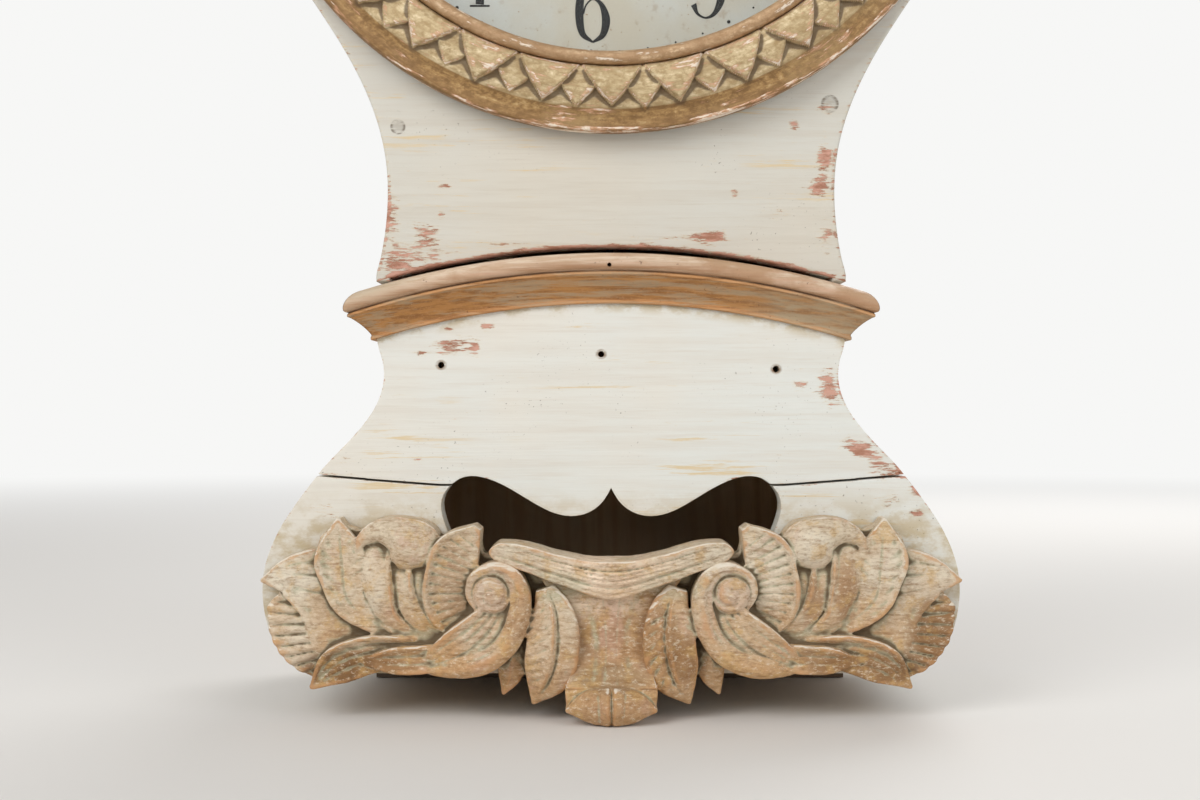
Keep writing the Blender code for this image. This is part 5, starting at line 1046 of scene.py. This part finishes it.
beds = {  # flat ground between the leaves: height and outline
    12.5: [
        (16, 72), (18, 46), (22, 30), (30, 23), (57, 27), (67, 24.4), (84, 24.2), (100, 24.4), (126, 24.6),
        (138, 28), (147.5, 35), (151.2, 38.6), (156.5, 46), (162, 55), (170, 63), (168, 72), (153, 86), (150, 94),
        (141, 101), (130, 97), (119, 103), (108, 104), (96, 101), (88, 92), (78, 96), (69, 98), (66, 85), (52, 82),
        (44, 82),
    ],
    17.5: [
        (50, 42), (62, 32), (84, 30), (104, 38), (118, 48), (128, 64), (128, 80), (126, 90), (100, 92), (86, 78),
        (72, 82), (54, 76), (47, 60),
    ],
    26.0: [
        (50, 70), (58, 70), (63, 58), (58, 50), (50, 54),
    ],
}
leaves = {  # knots along the spine: x, z, half width, height above the board
    "sideLeaf": {
        "knots": [(138, 69, 15, 13), (150, 71.5, 15.5, 14), (165, 72.6, 10, 12.5), (182, 70.4, 0.6, 9.5)],
        "cup": -1.5, "rims": (0.9, 0.3), "grooves": ((-0.45, 1.3, 0.07), (0.1, 1.5, 0.07), (0.55, 1.2, 0.08)),
    },
    "longLeaf": {
        "knots": [(108, 43, 3, 15), (122, 49.5, 6, 18), (135.5, 61, 9.5, 19), (138.8, 78, 13, 19),
                  (140.6, 103.4, 0.8, 17)],
        "cup": 0.8, "rims": (1.6, 0.3), "veins": (13, 0.8, 1.6), "grooves": ((0.06, 1.1, 0.08),),
    },
    "rollPetal": {
        "knots": [(121, 93, 8.2, 19), (121, 80, 8.6, 23), (119.5, 68, 7.6, 23.5), (114, 53.5, 4.8, 21),
                  (103.5, 44.5, 1.6, 17.5)],
        "cup": -4, "tilt": -1.2, "rims": (3.0, 0),
    },
    "sepalMiddle": {
        "knots": [(109, 88, 7, 19.5), (108.5, 76, 6.4, 21.5), (106, 63, 5.4, 21.5), (99.5, 52, 4.2, 19.5),
                  (88, 41.5, 2, 17)],
        "cup": -1.2, "tilt": -1.2, "rims": (2.2, 0),
    },
    "sepalInner": {
        "knots": [(97, 84, 6, 19.5), (98.5, 72, 5.6, 21.5), (96.5, 61, 4.6, 21.5), (92, 51, 3.6, 20),
                  (84, 42, 2, 18)],
        "cup": -1.2, "tilt": -1.2, "rims": (2.0, 0),
    },
    "bud": {
        "knots": [(130.6, 86.4, 1, 20), (127.2, 92.4, 4, 23), (119.5, 96.6, 6.4, 26), (110, 95.4, 9.2, 28.5),
                  (101.5, 89.8, 13.2, 30), (95, 84, 11.6, 28), (91, 78.5, 1, 22)],
        "cup": -8, "rims": (0, 0.8),
    },
    "fluteLeaf": {
        "knots": [(78, 45, 5, 17), (84, 55.5, 10.5, 20.5), (84.6, 70, 11.5, 23.5), (79, 85, 11.5, 25),
                  (68.2, 99, 2.2, 25)],
        "tilt": -2.0, "cup": 0.6, "rims": (1.0, 0), "flutes": (14, 1.5), "grid": (140, 24),
    },
    "bottomLeaf": {
        "knots": [(92, 38.5, 3, 15), (108, 35.5, 7.5, 17.5), (125, 33, 10, 18), (141, 27, 9.5, 17),
                  (155.2, 15.2, 0.8, 14)],
        "cup": 1.4, "tilt": 1.5, "rims": (0.3, 1.7), "veins": (9, 0.5, 2.2),
        "grooves": ((-0.34, 1.3, 0.1), (0.1, 1.5, 0.09), (0.48, 1.0, 0.09)),
    },
    "upperLeaf": {
        "knots": [(84, 33, 7, 21), (98, 31, 7.4, 22), (112, 30.5, 6.4, 21), (129.2, 30, 0.6, 17.5)],
        "cup": 0.4, "rims": (0.2, 1.6), "grooves": ((-0.3, 1.0, 0.13), (0.25, 1.1, 0.12)),
    },
    "pendant": {
        "knots": [(34, 68, 5, 24), (30, 56, 11.5, 29), (29.5, 40, 13.5, 30), (32.5, 24, 11.5, 26),
                  (40.4, 7.4, 0.8, 16)],
        "cup": -3.0, "rib": 1.4, "veins": (11, 2.2, 1.8), "veinSide": 1, "lobes": (12, 0.02), "rims": (0.9, 0),
        "grooves": ((-0.17, 2.4, 0.1),),
    },
    "pendantSmall": {
        "knots": [(48, 42, 6, 17), (50.5, 31, 7.5, 18), (52.5, 21, 6, 16), (56, 11.8, 0.7, 12)],
        "cup": -2.5, "rib": 1.0, "veins": (7, 1.0, 1.6),
    },
    "tail": {
        "knots": [(57, 60, 6, 26), (64, 50, 9, 27.5), (73, 41.5, 10, 27.5), (84, 34.5, 7.5, 24.5),
                  (99.4, 26, 0.6, 17.5)],
        "tilt": 1.0, "rims": (0, 0.9), "grid": (100, 40),
        "grooves": ((-0.4, 1.2, 0.12), (0.05, 1.1, 0.1), (0.45, 0.9, 0.1)),
    },
    "volute": {
        "knots": [(66.4, 55.4, 0.6, 26), (70.4, 59.4, 1.7, 27), (72.7, 65.5, 2.6, 28), (69.8, 73.8, 3.4, 29),
                  (60, 78.3, 4.2, 30), (50.6, 74.6, 4.9, 31), (46, 64.5, 5.6, 31.5), (47.4, 52.5, 5.8, 31.5),
                  (51.5, 42, 5.9, 31.5), (58.5, 34.2, 5.9, 31), (68, 29.4, 5.4, 29), (82, 26.6, 3.6, 24.5),
                  (99.4, 25.4, 0.6, 17.5)],
        "cup": -3.4, "grid": (260, 24), "grooves": ((0.5, 1.2, 0.2),),
    },
}
fan = {"hub": (87, 50), "near": 48, "far": (85, 91, 91, 90, 87.4, 84, 78.8, 70.6), "turn": (10.1, -25.2), "flutes": 9,
       "proud": (13, 13.6, 11.4, 8.8), "across": (0, 0.4, 0.56, 1), "depth": 2.6}
eye = {"at": (60.9, 65), "radius": 9.6, "proud": 26.5, "rise": 4.8, "turns": 1.25, "groove": 2.1}


def carveFan(bm, side):
    made = bmesh.ops.create_grid(bm, x_segments=30, y_segments=126, size=1.0)["verts"]
    turns = np.linspace(0, 1, 127)
    ends = flow(fan["far"], turns)
    (hubX, hubZ), (first, last), near = fan["hub"], fan["turn"], fan["near"]
    for v in made:
        out, turn = (v.co.x + 1) / 2, (v.co.y + 1) / 2
        angle = math.radians(first + (last - first) * turn)
        wave = abs(math.sin(math.pi * turn * fan["flutes"]))
        reachOut = near + (float(np.interp(turn, turns, ends)) + 0.3 * wave - near) * out
        up = float(np.interp(out, fan["across"], fan["proud"]))
        up -= fan["depth"] * (1 - wave) ** 1.6 * min(1, max(0, out * 9 - 4.6))
        v.co = (side * (hubX + reachOut * math.cos(angle)) * mm, boardY - up * mm,
                (hubZ + reachOut * math.sin(angle)) * mm)
    closeToBoard(bm)


def carveEye(bm, side):
    made = bmesh.ops.create_grid(bm, x_segments=110, y_segments=22, size=1.0)["verts"]
    atX, atZ = eye["at"]
    for v in made:
        angle, out = math.pi * v.co.x, (v.co.y + 1) / 2
        spiral = (out * eye["turns"] + angle / (2 * math.pi)) % 1.0
        line = math.exp(-((spiral - 0.5) / 0.15) ** 2) * (0.6 + 0.4 * out)
        up = eye["proud"] + eye["rise"] * math.sqrt(max(0.0, 1 - out ** 2)) - eye["groove"] * line
        r = eye["radius"] * max(out, 0.02)
        v.co = (side * (atX + r * math.cos(angle)) * mm, boardY - up * mm, (atZ + r * math.sin(angle)) * mm)
    bmesh.ops.remove_doubles(bm, verts=made, dist=weld)
    middle = Vector((side * atX * mm, atZ * mm))
    pole = [e for e in bm.edges if e.is_boundary and max((w.co.xz - middle).length for w in e.verts) < 2 * mm]
    bmesh.ops.holes_fill(bm, edges=pole, sides=0)
    closeToBoard(bm)


def finishCarving(name, bm, node, seed, voxel=carving["voxel"]):
    bmesh.ops.recalc_face_normals(bm, faces=bm.faces)
    bm = fuse(bm, voxel)
    bmesh.ops.smooth_vert(bm, verts=bm.verts, factor=0.5, use_axis_x=True, use_axis_y=True, use_axis_z=True)
    toolMarks(bm, seed)
    for v in bm.verts:  # flat against the board and on the floor
        v.co.y = min(v.co.y, boardY)
        v.co.z = max(v.co.z, 0.0)
    mesh = toMesh(name, bm)
    markHollows(mesh, carving["softRounds"], carving["softReach"] * mm)
    makePiece(name, mesh, (carvedFinish,), "root", (node,), crease=80)
    print("carved", name, len(mesh.polygons))


for side, name in ((-1, "left"), (1, "right")):
    bm = bmesh.new()
    for height, outline in beds.items():
        bm.faces.new([bm.verts.new((side * x * mm, boardY - height * mm, z * mm)) for x, z in outline])
        closeToBoard(bm)
    carveFan(bm, side)
    for leaf in leaves.values():
        carveLeaf(bm, leaf, side)
    carveEye(bm, side)
    finishCarving("carvedLeaves_" + name, bm, "carved_leaves_" + name, side * 3.0)

# reeded cornice with rolled ends, fluted stem and the toe it stands on
bracket = {
    "bracketCornice": {"node": "bracket_cornice", "seed": 7.0, "shapes": [{
        "knots": [(-62.5, 86.6, 4.4, 26), (-52, 85.6, 6.4, 30.5), (-40, 82.4, 7.2, 32), (-26, 78, 8.2, 33.5),
                  (0, 72.6, 9.8, 34.5), (26, 78, 8.2, 33.5), (40, 82.4, 7.2, 32), (52, 85.8, 6.6, 30.5),
                  (62.5, 87, 4.4, 26)],
        "tilt": 3.0, "cup": -2.0, "grid": (240, 72), "rims": (0.7, 0.6), "round": 0.035,
        "grooves": ((0.48, 1.7, 0.08), (0.2, 1.5, 0.07), (-0.05, 1.5, 0.07), (-0.42, 1.6, 0.16), (-0.76, 1.2, 0.07)),
    }]},
    "bracketStem": {"node": "bracket_stem", "seed": 9.0, "shapes": [{
        "knots": [(0, 72, 36, 21), (0, 62, 27, 21), (0, 46, 19.4, 21.5), (0, 30, 19.4, 24), (0, 17.5, 23.4, 32.5)],
        "cup": -3.0, "grid": (90, 90),
        "grooves": ((-0.42, 1.5, 0.14), (0.42, 1.5, 0.14), (-0.15, 0.9, 0.05), (0.15, 0.9, 0.05)),
    }]},
    "frontFoot": {"node": "front_foot", "seed": 11.0, "shapes": [{
        "knots": [(0, 19.2, 23.4, 32), (0, 14, 23.4, 33.5), (0, 9, 23, 34), (0, 6.2, 22.2, 32)],
        "cup": -4, "grid": (40, 60),
    }, {
        "knots": [(-23.2, 7, 0.8, 34), (-14, 8.7, 8.0, 39.6), (0, 9.7, 9.6, 44), (14, 8.7, 8.0, 39.6),
                  (23.2, 7, 0.8, 34)],
        "cup": -5.5, "rims": (0, 1.0), "grid": (140, 44),
        "cuts": ((0.5, 2.8, 0.02), (0.36, 1.1, 0.02), (0.64, 1.1, 0.02)),
    }]},
}
for name, settings in bracket.items():
    bm = bmesh.new()
    for shape in settings["shapes"]:
        carveLeaf(bm, shape, 1)
    finishCarving(name, bm, settings["node"], settings["seed"], carving["fineVoxel"])


# dial numbers as thin paint: each stroke is a ribbon of (x, y, width) in a cell one high
digitStrokes = {
    "0": [[(.45, .99, .03), (.27, .88, .08), (.19, .5, .15), (.27, .12, .08), (.45, .01, .03), (.63, .12, .08),
           (.71, .5, .15), (.63, .88, .08), (.45, .99, .03)]],
    "1": [[(.5, .03, .13), (.5, .97, .13)], [(.3, .8, .02), (.4, .86, .05), (.5, .96, .08)],
          [(.3, .02, .04), (.7, .02, .04)]],
    "2": [[(.2, .74, .11), (.22, .86, .07), (.36, .97, .04), (.55, .95, .09), (.66, .78, .15), (.6, .58, .12),
           (.4, .36, .05), (.22, .14, .035), (.18, .04, .03)],
          [(.18, .05, .04), (.36, .11, .1), (.56, .05, .1), (.72, .12, .04), (.75, .26, .03)]],
    "3": [[(.2, .8, .11), (.26, .92, .05), (.42, .97, .04), (.58, .9, .1), (.63, .76, .14), (.55, .6, .08),
           (.38, .53, .03)],
          [(.38, .53, .03), (.58, .48, .07), (.7, .28, .15), (.6, .08, .09), (.42, .02, .04), (.26, .07, .05),
           (.18, .2, .11)]],
    "4": [[(.56, .97, .1), (.56, .03, .14)], [(.55, .97, .03), (.36, .64, .035), (.12, .28, .04)],
          [(.1, .28, .04), (.78, .28, .04)], [(.38, .02, .035), (.74, .02, .035)]],
    "5": [[(.26, .95, .05), (.45, .9, .1), (.68, .98, .03)], [(.26, .95, .03), (.24, .54, .03)],
          [(.24, .54, .03), (.42, .62, .06), (.62, .52, .12), (.68, .3, .15), (.58, .1, .09), (.42, .02, .04),
           (.26, .07, .05), (.18, .2, .11)]],
    "6": [[(.66, .82, .1), (.62, .92, .05), (.48, .98, .035), (.3, .84, .09), (.2, .5, .15), (.24, .16, .12),
           (.44, .02, .035)],
          [(.44, .02, .035), (.62, .12, .11), (.68, .32, .15), (.6, .52, .09), (.45, .6, .035), (.32, .52, .03),
           (.27, .4, .03)]],
    "7": [[(.14, .78, .03), (.18, .9, .06), (.36, .94, .1), (.56, .88, .09), (.74, .97, .03)],
          [(.72, .94, .04), (.56, .6, .08), (.44, .3, .15), (.42, .04, .15)], [(.24, .02, .035), (.6, .02, .035)]],
    "8": [[(.45, .54, .11), (.28, .68, .12), (.24, .82, .08), (.44, .98, .035), (.63, .84, .06), (.58, .66, .06),
           (.45, .54, .08), (.26, .4, .06), (.18, .24, .09), (.24, .08, .07), (.45, .02, .035), (.66, .1, .08),
           (.7, .26, .12), (.6, .42, .13), (.45, .54, .11)]],
}
digitStrokes["9"] = [[(.88 - x, 1 - y, w) for x, y, w in stroke] for stroke in digitStrokes["6"]]
dialMarks = {"centre": (-3.0, 497.0), "turn": -3.0, "ring": 122.0, "height": 40.0, "spread": 0.74, "pair": 0.5,
             "stroke": 0.74, "digitMiddle": 0.45, "samples": 60, "dots": 146.0, "dot": 0.55, "quarterDot": 0.95,
             "face": -36.0, "paint": 0.16, "thickness": 0.8}
tall, wide = dialMarks["height"], dialMarks["height"] * dialMarks["spread"]
inkY = (dialMarks["face"] - dialMarks["paint"]) * mm


def paintStroke(bm, stroke, left, bottom):
    path = tracePath(stroke, dialMarks["samples"])
    direction = np.gradient(path[:, :2], axis=0)
    direction /= np.linalg.norm(direction, axis=1)[:, None]
    last = dialMarks["samples"] - 1
    bold = tall * dialMarks["stroke"] / 2
    for v in bmesh.ops.create_grid(bm, x_segments=last, y_segments=2, size=1.0)["verts"]:
        i, out = round((v.co.x + 1) / 2 * last), v.co.y
        x = left + path[i, 0] * wide - direction[i, 1] * out * path[i, 2] * bold
        z = bottom + path[i, 1] * tall + direction[i, 0] * out * path[i, 2] * bold
        v.co = (x * mm, inkY, z * mm)


def onDial(radius, degrees):
    angle = math.radians(degrees - dialMarks["turn"])
    return dialMarks["centre"][0] + radius * math.sin(angle), dialMarks["centre"][1] + radius * math.cos(angle)


bm = bmesh.new()
for hour in range(1, 13):
    x, z = onDial(dialMarks["ring"], hour * 30)
    digits, step = str(hour), tall * dialMarks["pair"]
    left = x - dialMarks["digitMiddle"] * wide - step * (len(digits) - 1) / 2
    for k, digit in enumerate(digits):
        for stroke in digitStrokes[digit]:
            paintStroke(bm, stroke, left + k * step, z - tall / 2)
for minute in range(60):
    x, z = onDial(dialMarks["dots"], minute * 6)
    bmesh.ops.create_circle(bm, cap_ends=True, segments=14, matrix=Matrix.Translation((x * mm, inkY, z * mm)) @ facing,
                            radius=(dialMarks["dot"] if minute % 5 else dialMarks["quarterDot"]) * mm)
bmesh.ops.recalc_face_normals(bm, faces=bm.faces)
for f in bm.faces:
    if f.normal.y > 0:
        f.normal_flip()
bmesh.ops.solidify(bm, geom=bm.faces[:], thickness=dialMarks["paint"] * dialMarks["thickness"] * mm)
makePiece("dialNumbers", toMesh("dialNumbers", bm), (inkFinish,), "root")
print("dial painted")


# plain CAD nodes that stay get their finish
kept = {
    uprightPine: ("back_board", "seat_upright_left", "seat_upright_right", "glass_retainer"),
    levelPine: ("base_floor", "base_deck", "seat_board"),
    # the rear rail gets the darkened pine, painted shade to sink it into the shadow under the case
    shadowDarkPine: ("rear_foot_rail",),
    brass: ("front_plate", "back_plate", "back_cock", "mainspring_barrel", "barrel_cover", "centre_wheel",
            "third_wheel", "escape_wheel", "cannon_pinion", "minute_wheel", "hour_wheel", "hand_collet",
            "pendulum_bob", "rating_nut", "hinge_leaf_fixed_lower", "hinge_leaf_fixed_upper",
            "hinge_leaf_moving_lower", "hinge_leaf_moving_upper"),
    steel: ("mainspring", "winding_arbor", "click", "click_spring", "pallet_anchor", "suspension_spring",
            "pendulum_rod", "hinge_pin_lower", "hinge_pin_upper", "seat_screw_left", "seat_screw_right"),
    iron: ("hour_hand", "minute_hand"),
    dialFinish: ("dial",),
    glassFinish: ("dial_glass",),
}
for finish, nodes in kept.items():
    for node in nodes:
        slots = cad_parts[node].data.materials
        slots.clear()
        slots.append(finish)
print("finishes on the kept nodes")
